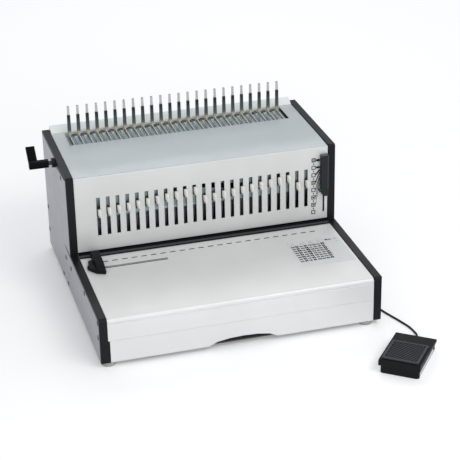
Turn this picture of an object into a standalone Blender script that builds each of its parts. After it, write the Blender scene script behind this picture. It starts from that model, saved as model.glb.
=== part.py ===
"""A comb binding machine with a foot pedal: 23 punching dies, a 24-finger comb opener and a lead to the pedal.

Run it with blender --background --python part.py, or from Blender's text editor. Lengths in the constants and
in the helpers are in millimetres, and the helpers turn them into Blender's metres. The machine's own frame has
x across with 0 in the middle, y from the table's front face towards the back, and z up from the base's
underside. The empty "machine" carries that frame to where the whole object stands on z = 0, centred.
"""

import math

import bmesh
import bpy
from mathutils import Matrix, Vector

MM = 0.001
GAP = 0.3  # between faces that touch

# Housing
WIDTH = 405.0
TRIM_WIDTH = 11.0
TRIM_DEPTH = 4.5
BASE_HEIGHT = 68.0
TABLE_DEPTH = 199.0
HEIGHT = 190.3
DEPTH = 390.0
SHEET = 1.2
RECESS = 1.0  # the covers lie this much below the trims
FOOT_HEIGHT = 7.0
FOOT_RADIUS = 10.4
INNER = WIDTH / 2 - TRIM_WIDTH
COVER_HALF = INNER - 0.6
DRAWER_TOP = 33.0
CREASE_Y = 240.0
LIP_Y = 373.0
LIP_RISE = 7.6

# Comb binding pitch, 9/16 inch, and the 23 dies
PITCH = 14.2875
DIES = 23
FINGERS = DIES + 1
SLOT_WIDTH = 5.4
SLOT_BOTTOM = 94.4
SLOT_TOP = 154.5
PANEL_BOTTOM = 71.3
PANEL_Y = TABLE_DEPTH + RECESS

# Punch
STROKE = 22.0
CAM_ANGLE = math.radians(165)
CAM_RISE = STROKE / CAM_ANGLE  # mm of stroke for each radian, the same all the way
CAM_BASE = 10.0
CAM_X = 169.0
CAM_Y = 250.0
PAD_TOP = 121.7
CAM_Z = PAD_TOP + GAP + CAM_BASE
PLATE_Y = (203.5, 206.4)
PLATE_BOTTOM = 121.4
BEAM_TOP = 165.0
PIN_Y = (214.0, 216.9)
PIN_TIP = 73.5
PIN_WIDTH = 7.9
TAB_HEIGHT = 14.0
TAB_FIRST_Z = 129.7
TAB_STEP = 1.53
TAB_GROUPS = (11, 10, 2)  # the dies punch one after another, in these groups
TAB_PROUD = 8.0
TAB_HEAD = 6.6
TAB_TRAVEL = 5.0

# Comb opener
OPENING_X = (-172.0, 170.0)
OPENING_Y = (320.0, 369.5)
FINGER_Y = (363.6, 366.2)
FINGER_TOP = 234.5
RAKE_Z = (183.0, 185.0)
RAKE_TONGUE = 9.2
LEVER_Y = 280.0
LEVER_Z = 183.0
CRANK = 26.0
CRANK_START = math.radians(35)
CRANK_X = (-188.0, -184.0)
YOKE_X = (-181.0, -178.0)

# Slider and guide
SLIDER_X = (178.6, 190.4)
SLIDER_SLOT_X = 185.0
GUIDE_SLOT_Y = 151.0
GUIDE_SLOT_X = (-186.0, -69.0)

# Pedal: its own frame has y towards its rear edge and z up from the floor
PEDAL_X = 199.7
PEDAL_Y = -107.7
PEDAL_TURN = math.radians(-37.7)
PEDAL_WIDTH = 58.2
PEDAL_LENGTH = 86.0
TREADLE_FRONT = 20.4
TREADLE_REAR = 16.6
TREADLE_SHEET = 3.2
BASE_TOP = 12.6
HINGE_Y = 36.6
HINGE_Z = 8.2
PAD_X = (-26.2, 25.2)
PAD_Y = (-37.8, 16.8)

# Lead
CORD = 3.0
COIL_RADIUS = 16.5
COIL_HEIGHT = 18.6
COIL_X = 166.5
COIL_Y = 427.0
PLUG_X = COIL_X - COIL_RADIUS
PLUG_Z = 4.0

BLACK = ("black_plastic", (0.022, 0.024, 0.027), 0.5, 0.0)
SILVER = ("silver_paint", (0.62, 0.63, 0.64), 0.4, 0.3)
SIDE = ("side_paint", (0.36, 0.36, 0.4), 0.45, 0.3)
STEEL = ("bright_steel", (0.6, 0.6, 0.6), 0.25, 1.0)
ZINC = ("zinc_plate", (0.42, 0.47, 0.48), 0.4, 1.0)
DARK = ("dark_steel", (0.1, 0.1, 0.11), 0.5, 0.6)
GREY = ("grey_plastic", (0.25, 0.25, 0.26), 0.5, 0.0)
GREEN = ("board_green", (0.03, 0.15, 0.07), 0.5, 0.0)
RUBBER = ("black_rubber", (0.02, 0.02, 0.022), 0.8, 0.0)


def clear_scene():
    for obj in list(bpy.data.objects):
        bpy.data.objects.remove(obj)


def new_collection(name):
    collection = bpy.data.collections.new(name)
    bpy.context.scene.collection.children.link(collection)
    return collection


def material(name, look):
    slot, colour, roughness, metallic = look
    made = bpy.data.materials.new(f"{name}_{slot}")
    made.use_nodes = True
    shader = made.node_tree.nodes["Principled BSDF"]
    shader.inputs["Base Color"].default_value = (*colour, 1.0)
    shader.inputs["Roughness"].default_value = roughness
    shader.inputs["Metallic"].default_value = metallic
    made.diffuse_color = (*colour, 1.0)
    return made


def new_object(name, mesh):
    obj = bpy.data.objects.new(name, mesh)
    PARTS.objects.link(obj)
    return obj


def mesh_object(name, bm):
    mesh = bpy.data.meshes.new(name)
    bm.to_mesh(mesh)
    bm.free()
    return new_object(name, mesh)


def settle(obj):
    """Replaces the object's mesh by its evaluated one, in the machine's frame, with its modifiers gone."""
    bpy.context.view_layer.update()
    evaluated = obj.evaluated_get(bpy.context.evaluated_depsgraph_get())
    mesh = bpy.data.meshes.new_from_object(evaluated)
    mesh.transform(obj.matrix_world)
    bm = bmesh.new()
    bm.from_mesh(mesh)
    bmesh.ops.remove_doubles(bm, verts=bm.verts, dist=1e-6)
    bm.to_mesh(mesh)
    bm.free()
    name = obj.name
    bpy.data.objects.remove(obj)
    return new_object(name, mesh)


def box(name, low, high):
    """A box from its lowest to its highest corner."""
    bm = bmesh.new()
    bmesh.ops.create_cube(bm, size=1.0)
    low, high = Vector(low) * MM, Vector(high) * MM
    size = high - low
    bmesh.ops.scale(bm, vec=size, verts=bm.verts)
    bmesh.ops.translate(bm, vec=(low + high) / 2, verts=bm.verts)
    return mesh_object(name, bm)


def boxes(name, corners):
    """Several boxes in one mesh, to cut or join at once."""
    bm = bmesh.new()
    for low, high in corners:
        low, high = Vector(low) * MM, Vector(high) * MM
        made = bmesh.ops.create_cube(bm, size=1.0)
        bmesh.ops.scale(bm, vec=high - low, verts=made["verts"])
        bmesh.ops.translate(bm, vec=(low + high) / 2, verts=made["verts"])
    return mesh_object(name, bm)


TURNS = {
    "x": Matrix.Rotation(math.radians(90), 4, "Y"),
    "y": Matrix.Rotation(math.radians(-90), 4, "X"),
    "z": Matrix.Identity(4),
}


def cylinder(name, axis, start, length, radius, end_radius=None, sides=24):
    """A cylinder or cone from the point start, length long towards +axis."""
    bm = bmesh.new()
    bmesh.ops.create_cone(
        bm,
        cap_ends=True,
        segments=sides,
        radius1=radius * MM,
        radius2=(radius if end_radius is None else end_radius) * MM,
        depth=length * MM,
    )
    bmesh.ops.translate(bm, vec=(0, 0, length * MM / 2), verts=bm.verts)
    bmesh.ops.transform(bm, matrix=TURNS[axis], verts=bm.verts)
    bmesh.ops.translate(bm, vec=Vector(start) * MM, verts=bm.verts)
    return mesh_object(name, bm)


PLANES = {
    "xy": Matrix.Identity(4),
    "yz": Matrix(((0, 0, 1, 0), (1, 0, 0, 0), (0, 1, 0, 0), (0, 0, 0, 1))),
    "xz": Matrix(((1, 0, 0, 0), (0, 0, -1, 0), (0, 1, 0, 0), (0, 0, 0, 1))),
}


def plate(name, plane, outlines, start, end):
    """Flat outlines, the first the outer one and the rest holes, made thick from start to end across the plane."""
    curve = bpy.data.curves.new(name, "CURVE")
    curve.dimensions = "2D"
    curve.fill_mode = "BOTH"
    curve.extrude = abs(end - start) / 2 * MM
    for outline in outlines:
        spline = curve.splines.new("POLY")
        spline.points.add(len(outline) - 1)
        spline.use_cyclic_u = True
        for point, (u, v) in zip(spline.points, outline):
            point.co = (u * MM, v * MM, 0.0, 1.0)
    obj = new_object(name, curve)
    middle = (start + end) / 2 * MM * (-1 if plane == "xz" else 1)
    obj.matrix_world = PLANES[plane] @ Matrix.Translation((0, 0, middle))
    return settle(obj)


def arc(centre, radius, first, last, steps):
    """Points of an arc, angles in degrees."""
    return [
        (
            centre[0] + radius * math.cos(math.radians(first + (last - first) * i / steps)),
            centre[1] + radius * math.sin(math.radians(first + (last - first) * i / steps)),
        )
        for i in range(steps + 1)
    ]


def rectangle(low, high):
    return [(low[0], low[1]), (high[0], low[1]), (high[0], high[1]), (low[0], high[1])]


def rounded(low, high, radius, steps=3):
    """A rectangle with round corners."""
    (u0, v0), (u1, v1) = low, high
    return (
        arc((u1 - radius, v0 + radius), radius, -90, 0, steps)
        + arc((u1 - radius, v1 - radius), radius, 0, 90, steps)
        + arc((u0 + radius, v1 - radius), radius, 90, 180, steps)
        + arc((u0 + radius, v0 + radius), radius, 180, 270, steps)
    )


def bent_sheet(name, profile, half_width, thickness=SHEET):
    """A sheet bent along the (y, z) profile, its outer face on the profile's left."""
    bm = bmesh.new()
    rows = [
        [bm.verts.new((x * MM, y * MM, z * MM)) for y, z in profile]
        for x in (-half_width, half_width)
    ]
    edges = [bm.edges.new(pair) for pair in zip(rows[0], rows[0][1:])]
    bmesh.ops.delete(bm, geom=rows[1], context="VERTS")
    swept = bmesh.ops.extrude_edge_only(bm, edges=edges)
    moved = [v for v in swept["geom"] if isinstance(v, bmesh.types.BMVert)]
    bmesh.ops.translate(bm, vec=(2 * half_width * MM, 0, 0), verts=moved)
    bmesh.ops.recalc_face_normals(bm, faces=bm.faces)
    obj = mesh_object(name, bm)
    solidify = obj.modifiers.new("thickness", "SOLIDIFY")
    solidify.thickness = thickness * MM
    solidify.offset = -1.0
    solidify.use_even_offset = True
    return settle(obj)


def combine(obj, other, operation):
    boolean = obj.modifiers.new(operation, "BOOLEAN")
    boolean.operation = operation
    boolean.object = other
    made = settle(obj)
    bpy.data.objects.remove(other)
    return made


def join(obj, *others):
    for other in others:
        obj = combine(obj, other, "UNION")
    return obj


def cut(obj, *others):
    for other in others:
        obj = combine(obj, other, "DIFFERENCE")
    return obj


def finish(obj, look, pivot=None, parent=None):
    """Gives the piece its material, its origin on its joint's axis, and its parent."""
    obj.data.materials.clear()
    obj.data.materials.append(material(obj.name, look))
    obj.data.shade_smooth()
    obj.data.set_sharp_from_angle(angle=math.radians(35))
    if pivot is not None:
        place = Vector(pivot) * MM
        obj.data.transform(Matrix.Translation(-place))
        obj.location = place
    obj.parent = parent or MACHINE
    return obj


def die_x(index):
    """The middle of die number index, counted from 0 at the left."""
    return (index - (DIES - 1) / 2) * PITCH


def finger_x(index):
    return (index - (FINGERS - 1) / 2) * PITCH


def tab_z(index):
    """The middle height of a selector's tab: each group climbs by TAB_STEP from the same first height."""
    for size in TAB_GROUPS:
        if index < size:
            return TAB_FIRST_Z + index * TAB_STEP
        index -= size
    raise ValueError("more dies than the groups hold")


# Housing


def trim_outline():
    """The L-shaped band that frames a side: up the front, back over the table, up the panel, back over the top."""
    outer = (
        [(0.0, 0.0)]
        + arc((4.0, BASE_HEIGHT - 4.0), 4.0, 180, 90, 3)
        + [(TABLE_DEPTH, BASE_HEIGHT)]
        + arc((TABLE_DEPTH + 3.0, HEIGHT - 3.0), 3.0, 180, 90, 3)
        + [(DEPTH, HEIGHT)]
    )
    inner = [
        (DEPTH, HEIGHT - TRIM_DEPTH),
        (TABLE_DEPTH + TRIM_DEPTH, HEIGHT - TRIM_DEPTH),
        (TABLE_DEPTH + TRIM_DEPTH, BASE_HEIGHT - TRIM_DEPTH),
        (TRIM_DEPTH, BASE_HEIGHT - TRIM_DEPTH),
        (TRIM_DEPTH, 0.0),
    ]
    return outer + inner


def edge_trims():
    """Both bands; beside the drawer's front the left one is a little wider inwards."""
    left = plate("left_edge_trim", "yz", [trim_outline()], -WIDTH / 2, -INNER)
    left = join(left, box("left_step", (-INNER - 2, 0.2, 0.2), (-INNER + 2.5, TRIM_DEPTH - 0.2, 31.0)))
    boss = cylinder("boss", "x", (-WIDTH / 2 - 5.5, LEVER_Y, LEVER_Z), 14.0, 7.2)
    bore = cylinder("bore", "x", (-WIDTH / 2 - 10, LEVER_Y, LEVER_Z), 30.0, 3.3)
    bossed = join(left, boss)
    finish(cut(bossed, bore), BLACK)
    right = plate("right_edge_trim", "yz", [trim_outline()], INNER, WIDTH / 2)
    finish(right, BLACK)


def side_plates():
    """The sheets between the trims' inner line and the ground line, flush with the trims outside."""
    front = TRIM_DEPTH + GAP
    top = HEIGHT - TRIM_DEPTH - GAP
    step = BASE_HEIGHT - TRIM_DEPTH - GAP
    panel = TABLE_DEPTH + TRIM_DEPTH + GAP
    outline = [(front, 0.0), (DEPTH, 0.0), (DEPTH, top), (panel, top), (panel, step), (front, step)]
    left = plate("left_side_plate", "yz", [outline], -WIDTH / 2, -WIDTH / 2 + 2.0)
    boss_hole = cylinder("boss_hole", "x", (-WIDTH / 2 - 5, LEVER_Y, LEVER_Z), 10.0, 7.6)
    finish(cut(left, boss_hole), SIDE)
    right = plate("right_side_plate", "yz", [outline], WIDTH / 2 - 2.0, WIDTH / 2)
    finish(right, SIDE)


def base_pan():
    """The tray that everything stands on, with flanges at both sides and at the rear."""
    half = WIDTH / 2 - 2.0 - GAP
    front = TRIM_DEPTH + GAP
    pan = box("base_pan", (-half, front, 0.0), (half, DEPTH - 2.0, 24.0))
    hollow = box("hollow", (-half + 2.0, front - 5, 1.6), (half - 2.0, DEPTH - 4.0, 30.0))
    notches = boxes(
        "notches",
        [
            ((-170.0, DEPTH - 10.0, 12.0), (-106.0, DEPTH + 5.0, 30.0)),
            ((PLUG_X - 6.0, DEPTH - 10.0, 4.0), (PLUG_X + 6.0, DEPTH + 5.0, 30.0)),
        ],
    )
    finish(cut(pan, hollow, notches), DARK)


def feet():
    for side, x in (("left", -190.5), ("right", 182.6)):
        for end, y in (("front", 11.0), ("rear", 340.0)):
            foot = cylinder(
                f"foot_{end}_{side}",
                "z",
                (x, y, -FOOT_HEIGHT),
                FOOT_HEIGHT - GAP,
                FOOT_RADIUS - 1.0,
                FOOT_RADIUS,
                20,
            )
            finish(foot, ZINC)


def work_table():
    """The table sheet, rolled over at the front into the upper apron, with the guide's slot."""
    top = BASE_HEIGHT - RECESS
    face = RECESS - 0.4
    roll = 6.0
    profile = (
        [(face, DRAWER_TOP + 0.6)]
        + arc((face + roll, top - roll), roll, 180, 90, 6)
        + [(205.6, top)]
    )
    table = bent_sheet("work_table", profile, COVER_HALF)
    slot = box(
        "slot",
        (GUIDE_SLOT_X[0], GUIDE_SLOT_Y - 1.5, top - 8),
        (GUIDE_SLOT_X[1], GUIDE_SLOT_Y + 1.5, top + 8),
    )
    finish(cut(table, slot), SILVER)


def waste_drawer():
    """The drawer that catches the punched chips; its front closes the lower apron."""
    arch = [(-50.0, 0.0), (-38.0, 5.5), (-20.0, 8.4), (0.0, 9.2), (20.0, 8.4), (38.0, 5.5), (50.0, 0.0)]
    left = -INNER + 2.5 + 0.4
    right = INNER - 0.4
    front_outline = [(left, 0.0)] + arch + [(right, 0.0), (right, DRAWER_TOP), (left, DRAWER_TOP)]
    front = plate("waste_drawer", "xz", [front_outline], 0.6, 2.6)
    tray = box("tray", (-184.0, 2.0, 9.8), (184.0, 236.0, 30.0))
    hollow = box("hollow", (-182.4, 5.0, 11.4), (182.4, 234.4, 40.0))
    drawer = join(front, cut(tray, hollow))
    finish(drawer, SILVER)


def throat_rail():
    """The black lip in front of the die that leads the paper's edge into the punch mouth."""
    top = BASE_HEIGHT - RECESS
    outline = [
        (186.6, top + GAP),
        (205.6, top + GAP),
        (205.6, top + 1.9),
        (197.0, top + 1.9),
        (197.0, top + 1.0),
        (194.0, top + 1.0),
        (194.0, top + 1.9),
        (188.2, top + 1.9),
    ]
    rail = plate("throat_rail", "yz", [outline], -COVER_HALF + 0.4, COVER_HALF - 0.4)
    finish(rail, BLACK)


def upper_cover():
    """One sheet: the front panel, the slightly sloping front band and the flat top up to the lip's crease."""
    top = HEIGHT - RECESS
    profile = (
        [(PANEL_Y, PANEL_BOTTOM)]
        + arc((PANEL_Y + 1.5, top - 2.5), 1.5, 180, 90, 3)
        + [(CREASE_Y, top), (LIP_Y, top)]
    )
    cover = bent_sheet("upper_cover", profile, COVER_HALF)
    slots = [
        (
            (die_x(i) - SLOT_WIDTH / 2, PANEL_Y - 5, SLOT_BOTTOM),
            (die_x(i) + SLOT_WIDTH / 2, PANEL_Y + 5, SLOT_TOP),
        )
        for i in range(DIES)
    ]
    slots.append(((SLIDER_SLOT_X - 1.4, PANEL_Y - 5, 82.0), (SLIDER_SLOT_X + 1.4, PANEL_Y + 5, 144.0)))
    slots.append(((OPENING_X[0], OPENING_Y[0], top - 10), (OPENING_X[1], OPENING_Y[1], top + 10)))
    finish(cut(cover, boxes("slots", slots)), SILVER)


def rear_cover():
    """The back sheet; its lip slopes up from the crease behind the fingers and folds down the back."""
    top = HEIGHT - RECESS
    profile = [
        (LIP_Y + GAP + 0.2, top + 0.2),
        (DEPTH - 0.8, top + LIP_RISE),
        (DEPTH - 0.3, top + LIP_RISE - 0.5),
        (DEPTH - 0.3, 2.0),
    ]
    cover = bent_sheet("rear_cover", profile, COVER_HALF)
    wide = WIDTH / 2 - 2.0 - GAP
    back_top = HEIGHT - TRIM_DEPTH - GAP
    back = box("back", (-wide, DEPTH - 1.6, 2.3), (wide, DEPTH - 0.4, back_top))
    cover = join(cover, back)
    inlet = ((-164.4, 380.0, 17.6), (-135.6, 400.0, 38.4))
    switch = ((-124.4, 380.0, 19.8), (-109.6, 400.0, 36.2))
    vents = [((60 + 8 * i, 380.0, 90.0), (63 + 8 * i, 400.0, 120.0)) for i in range(8)]
    cover = cut(cover, boxes("rear_holes", [inlet, switch, *vents]))
    socket = cylinder("socket", "y", (PLUG_X, 380.0, PLUG_Z + 7.0), 20.0, 3.4, sides=16)
    finish(cut(cover, socket), SILVER)


# Punch


def cam_outline():
    """The cam's edge around its axis, from its distance to a flat follower at each turn.

    The distance climbs by CAM_RISE each radian up to CAM_ANGLE, and comes back the same way, so the follower
    moves in step with the shaft. Between the two flanks the lobe is round.
    """
    points = []
    for side in (1, -1):
        flank = []
        for i in range(15):
            turn = CAM_ANGLE * i / 14
            reach = CAM_BASE + CAM_RISE * turn
            slope = CAM_RISE
            flank.append(
                (
                    side * (reach * math.sin(turn) + slope * math.cos(turn)),
                    -reach * math.cos(turn) + slope * math.sin(turn),
                )
            )
        points += flank if side > 0 else flank[::-1]
    return [(CAM_Y - u, CAM_Z + v) for u, v in points]


def cam_shaft():
    shaft = cylinder("cam_shaft", "x", (-189.2, CAM_Y, CAM_Z), 378.4, 5.0, sides=20)
    cams = [
        plate(f"cam_{i}", "yz", [cam_outline()], side * CAM_X - 4, side * CAM_X + 4)
        for i, side in enumerate((-1, 1))
    ]
    finish(join(shaft, *cams), STEEL, (0, CAM_Y, CAM_Z))


def punch_beam():
    """The pressure plate with a window for each selector, the pins behind it, and an arm under each cam."""
    windows = []
    for i in range(DIES):
        low = tab_z(i) - TAB_HEIGHT / 2 - GAP
        high = tab_z(i) + TAB_HEIGHT / 2 + GAP
        if SLOT_TOP - high < 6.5:
            high = SLOT_TOP + 0.5
        windows.append(rectangle((die_x(i) - 1.8, low), (die_x(i) + 1.8, high)))
    outline = rectangle((-177.0, PLATE_BOTTOM), (177.0, BEAM_TOP))
    plate_piece = plate("punch_beam", "xz", [outline, *windows], *PLATE_Y)
    comb = [(-165.0, 160.0)]
    for i in range(DIES):
        left = die_x(i) - PIN_WIDTH / 2
        right = die_x(i) + PIN_WIDTH / 2
        comb += [(left, 160.0), (left, PIN_TIP), (right, PIN_TIP), (right, 160.0)]
    comb += [(165.0, 160.0), (165.0, BEAM_TOP - 1), (-165.0, BEAM_TOP - 1)]
    pins = plate("pins", "xz", [comb], *PIN_Y)
    bridge = box("bridge", (-166.0, PLATE_Y[0] + 1, 158.5), (166.0, PIN_Y[1] + 3, BEAM_TOP - 0.5))
    arms = boxes(
        "arms",
        [
            ((-177.0, PLATE_Y[0] + 0.5, 113.0), (-161.0, CAM_Y + 14, PAD_TOP)),
            ((161.0, PLATE_Y[0] + 0.5, 113.0), (177.0, CAM_Y + 14, PAD_TOP)),
        ],
    )
    finish(join(plate_piece, bridge, pins, arms), ZINC)


def punch_frame():
    """Lower die, upper pin guide, the web that ties them, and the two cheeks that carry the cam shaft."""
    die = box("punch_frame", (-189.1, 207.0, 60.0), (189.1, 226.0, 69.0))
    guide = box("guide", (-189.1, 205.0, 72.4), (189.1, 226.0, 87.0))
    web = box("web", (-188.6, 221.0, 61.0), (188.6, 225.0, 86.0))
    reach = PIN_WIDTH / 2 + 0.35
    holes = [
        ((die_x(i) - reach, PIN_Y[0] - 0.35, 50.0), (die_x(i) + reach, PIN_Y[1] + 0.35, 95.0))
        for i in range(DIES)
    ]
    bed = cut(join(die, web, guide), boxes("holes", holes))
    cheek = [(206.0, 62.0), (263.0, 62.0), (263.0, 150.0), (230.0, 150.0), (206.0, 100.0)]
    bore = arc((CAM_Y, CAM_Z), 5.35, 0, 337.5, 15)
    cheeks = [
        plate("cheek_left", "yz", [cheek, bore], -189.6, -186.6),
        plate("cheek_right", "yz", [cheek, bore], 186.6, 189.6),
    ]
    legs = boxes(
        "legs",
        [((-189.2, 252.0, 1.9), (-187.0, 262.0, 70.0)), ((187.0, 252.0, 1.9), (189.2, 262.0, 70.0))],
    )
    finish(join(bed, *cheeks, legs), DARK)


def die_selectors():
    """Pull tabs: a wide head in front, a flat shank through the plate's window and a catch behind it."""
    half = TAB_HEIGHT / 2
    front = PANEL_Y - TAB_PROUD
    back = front + TAB_HEAD
    catch = PLATE_Y[1] + TAB_TRAVEL + 0.2
    outline = (
        [(back - 1.0, -half), (catch, -half), (catch, -half - 1.6), (catch + 1.6, -half - 1.6)]
        + [(catch + 1.6, half + 1.6), (catch, half + 1.6), (catch, half), (back - 1.0, half)]
    )
    head = (
        arc((front + 4.0, -half + 4.0), 4.0, 180, 270, 3)
        + [(back, -half), (back, half)]
        + arc((front + 4.0, half - 4.0), 4.0, 90, 180, 3)
    )
    for i in range(DIES):
        shank_line, head_line = ([(y, z + tab_z(i)) for y, z in line] for line in (outline, head))
        x = die_x(i)
        tab = plate(f"die_selector_{i + 1:02d}", "yz", [shank_line], x - 1.5, x + 1.5)
        grip = plate("tab_head", "yz", [head_line], x - 1.6, x + 3.6)
        finish(join(tab, grip), STEEL, (x, front, tab_z(i)))


def drive():
    """Gearbox around the cam shaft, standing on the base, and the motor that hangs on it."""
    housing = boxes("gearbox", [((62.0, 229.0, 106.0), (108.0, 276.0, 158.0))])
    foot = box("gearbox_foot", (68.0, 240.0, 1.9), (102.0, 268.0, 110.0))
    bore = cylinder("gearbox_bore", "x", (50.0, CAM_Y, CAM_Z), 70.0, 5.35, sides=20)
    finish(cut(join(housing, foot), bore), GREY)
    motor = cylinder("motor", "y", (85.0, 276.0 + GAP, 126.0), 88.0, 27.0)
    nose = cylinder("motor_nose", "y", (85.0, 362.0, 126.0), 8.0, 10.0, sides=16)
    finish(join(motor, nose), DARK)


def electrics():
    board = box("control_board", (-172.0, 290.0, 8.0), (-60.0, 378.0, 9.6))
    blocks = boxes(
        "blocks",
        [
            ((-164.0, 300.0, 9.0), (-130.0, 334.0, 38.0)),
            ((-118.0, 304.0, 9.0), (-104.0, 318.0, 24.0)),
            ((-96.0, 300.0, 9.0), (-68.0, 312.0, 20.0)),
            ((-112.0, 340.0, 9.0), (-100.0, 352.0, 33.0)),
            ((-90.0, 340.0, 9.0), (-70.0, 366.0, 18.0)),
            ((-168.0, 294.0, 1.9), (-162.0, 300.0, 9.0)),
            ((-70.0, 294.0, 1.9), (-64.0, 300.0, 9.0)),
            ((-168.0, 368.0, 1.9), (-162.0, 374.0, 9.0)),
            ((-70.0, 368.0, 1.9), (-64.0, 374.0, 9.0)),
        ],
    )
    finish(join(board, blocks), GREEN)

    inlet = box("power_inlet", (-164.0, 379.0, 18.0), (-136.0, DEPTH - 0.4, 38.0))
    flange = box("flange", (-167.0, DEPTH, 15.0), (-133.0, DEPTH + 1.6, 41.0))
    neck = box("neck", (-164.0, DEPTH - 2, 18.0), (-136.0, DEPTH + 1.0, 38.0))
    pocket = box("pocket", (-161.5, DEPTH - 8.0, 20.5), (-138.5, DEPTH + 5, 35.5))
    pins = boxes(
        "inlet_pins",
        [
            ((-157.0, DEPTH - 9.0, 25.0), (-155.0, DEPTH - 1.0, 29.0)),
            ((-145.0, DEPTH - 9.0, 25.0), (-143.0, DEPTH - 1.0, 29.0)),
            ((-151.0, DEPTH - 9.0, 29.0), (-149.0, DEPTH - 1.0, 33.0)),
        ],
    )
    finish(join(cut(join(inlet, neck, flange), pocket), pins), BLACK)

    middle = Vector((386.6, 28.0))
    rocker = [(0.2, -7.0), (4.4, -7.0), (3.4, 0.0), (4.4, 7.0), (0.2, 7.0), (-2.0, 0.0)]
    tilt = Matrix.Rotation(math.radians(-10), 2)
    outline = [tuple(middle + tilt @ Vector(corner)) for corner in rocker]
    switch = plate("power_switch", "yz", [outline], -123.6, -110.4)
    finish(switch, BLACK, (-117.0, *middle))


# Comb opener


def finger_rail():
    """24 flat fingers that taper upwards, each on a thin divider that runs forward between the rake's tongues."""
    top = HEIGHT - RECESS
    comb = [(-171.0, 170.5), (171.0, 170.5), (171.0, 176.0)]
    for i in reversed(range(FINGERS)):
        x = finger_x(i)
        comb += [(x + 1.0, 176.0), (x + 1.0, top - 2.0), (x + 2.8, top + 1.5), (x + 2.1, 219.0)]
        comb += [(x + 1.7, 220.5), (x + 1.6, FINGER_TOP - 1.0), (x + 0.8, FINGER_TOP)]
        comb += [(x - 0.8, FINGER_TOP), (x - 1.6, FINGER_TOP - 1.0), (x - 1.7, 220.5)]
        comb += [(x - 2.1, 219.0), (x - 2.8, top + 1.5), (x - 1.0, top - 2.0), (x - 1.0, 176.0)]
    comb += [(-171.0, 176.0)]
    rail = plate("finger_rail", "xz", [comb], *FINGER_Y)
    floor = box("rail_floor", (-170.5, 318.0, 171.0), (170.5, 367.0, 173.5))
    dividers = boxes(
        "dividers",
        [((finger_x(i) - 0.95, 321.0, 172.0), (finger_x(i) + 0.95, 365.0, 187.2)) for i in range(FINGERS)],
    )
    ends = boxes(
        "rail_ends",
        [
            ((-COVER_HALF, 330.0, 171.2), (-169.0, 360.0, 173.2)),
            ((169.0, 330.0, 171.2), (COVER_HALF, 360.0, 173.2)),
        ],
    )
    finish(join(rail, floor, dividers, ends), STEEL)


def opener_rake():
    """A zinc-plated comb of tongues between the dividers, and the slotted yoke that the crank's pin drives."""
    half = RAKE_TONGUE / 2
    end = finger_x(FINGERS - 1) + 2.3
    tip = 366.0
    outline = [(-176.0, 285.0), (176.0, 285.0), (176.0, 316.0), (169.4, 316.0), (169.4, tip), (end, tip)]
    outline += [(end, 316.0)]
    for i in reversed(range(DIES)):
        x = die_x(i)
        outline += [(x + half, 316.0)] + arc((x, 369.0 - half), half, 0, 180, 4) + [(x - half, 316.0)]
    outline += [(-end, 316.0), (-end, tip), (-171.4, tip), (-171.4, 316.0), (-176.0, 316.0)]
    rake = plate("opener_rake", "xy", [outline], *RAKE_Z)
    pin_y, pin_low, pin_high = crank_pin(0.0)[0], LEVER_Z - CRANK, crank_pin(0.0)[1]
    slot = rounded((pin_y - 3.8, pin_low - 3.4), (pin_y + 3.8, pin_high + 3.4), 3.6, 3)
    frame = rectangle((pin_y - 8.0, pin_low - 7.0), (pin_y + 8.0, RAKE_Z[1] - 0.1))
    yoke = plate("yoke", "yz", [frame, slot], *YOKE_X)
    bridge = box("bridge", (YOKE_X[0] + 0.1, pin_y - 7.9, RAKE_Z[0] + 0.1), (-172.0, pin_y + 7.9, RAKE_Z[1] - 0.2))
    finish(join(rake, bridge, yoke), ZINC)


def crank_pin(turn):
    """(y, z) of the crank's pin when the lever has turned forward by turn."""
    angle = CRANK_START - turn
    return LEVER_Y + CRANK * math.sin(angle), LEVER_Z - CRANK * math.cos(angle)


def opener_shaft():
    """The short steel shaft through the left side, with the crank and its pin inside."""
    axis = (LEVER_Y, LEVER_Z)
    shaft = cylinder("opener_shaft", "x", (-WIDTH / 2 - 19.0, *axis), 34.5, 3.0, sides=16)
    pin_y, pin_z = crank_pin(0.0)
    along = Vector((pin_y - LEVER_Y, pin_z - LEVER_Z)).normalized()
    across = Vector((-along.y, along.x)) * 3.6
    corners = [(-3.0, -1), (-3.0, 1), (CRANK + 3.0, 1), (CRANK + 3.0, -1)]
    outline = [
        (LEVER_Y + along.x * far + across.x * side, LEVER_Z + along.y * far + across.y * side)
        for far, side in corners
    ]
    crank = plate("crank", "yz", [outline], *CRANK_X)
    pin = cylinder("crank_pin", "x", (CRANK_X[0] + 1, pin_y, pin_z), 10.5, 2.5, sides=12)
    finish(join(shaft, crank, pin), STEEL, (-WIDTH / 2, *axis))


def opener_lever():
    """A black block on the shaft's end, with a flat paddle that leans back from its outer end."""
    outer = -WIDTH / 2 - 38.5
    inner = -WIDTH / 2 - 10.0
    y0, z0 = LEVER_Y, LEVER_Z
    block = plate(
        "opener_lever", "yz", [rounded((y0 - 5.0, z0 - 5.6), (y0 + 5.0, z0 + 5.6), 2.0, 2)], outer, inner
    )
    lean = math.radians(52)
    along = Vector((math.sin(lean), math.cos(lean)))
    across = Vector((along.y, -along.x)) * 2.4
    outline = [
        (y0 + along.x * far + across.x * side, z0 + along.y * far + across.y * side)
        for far, side in ((0.0, -1), (0.0, 1), (29.0, 1), (31.0, 0.4), (31.0, -0.4), (29.0, -1))
    ]
    paddle = plate("paddle", "yz", [outline], outer, outer + 13.0)
    socket = cylinder("lever_socket", "x", (outer + 6, y0, z0), 60.0, 3.3, sides=16)
    finish(cut(join(block, paddle), socket), BLACK, (-WIDTH / 2, y0, z0))


# Slider, guide


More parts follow.
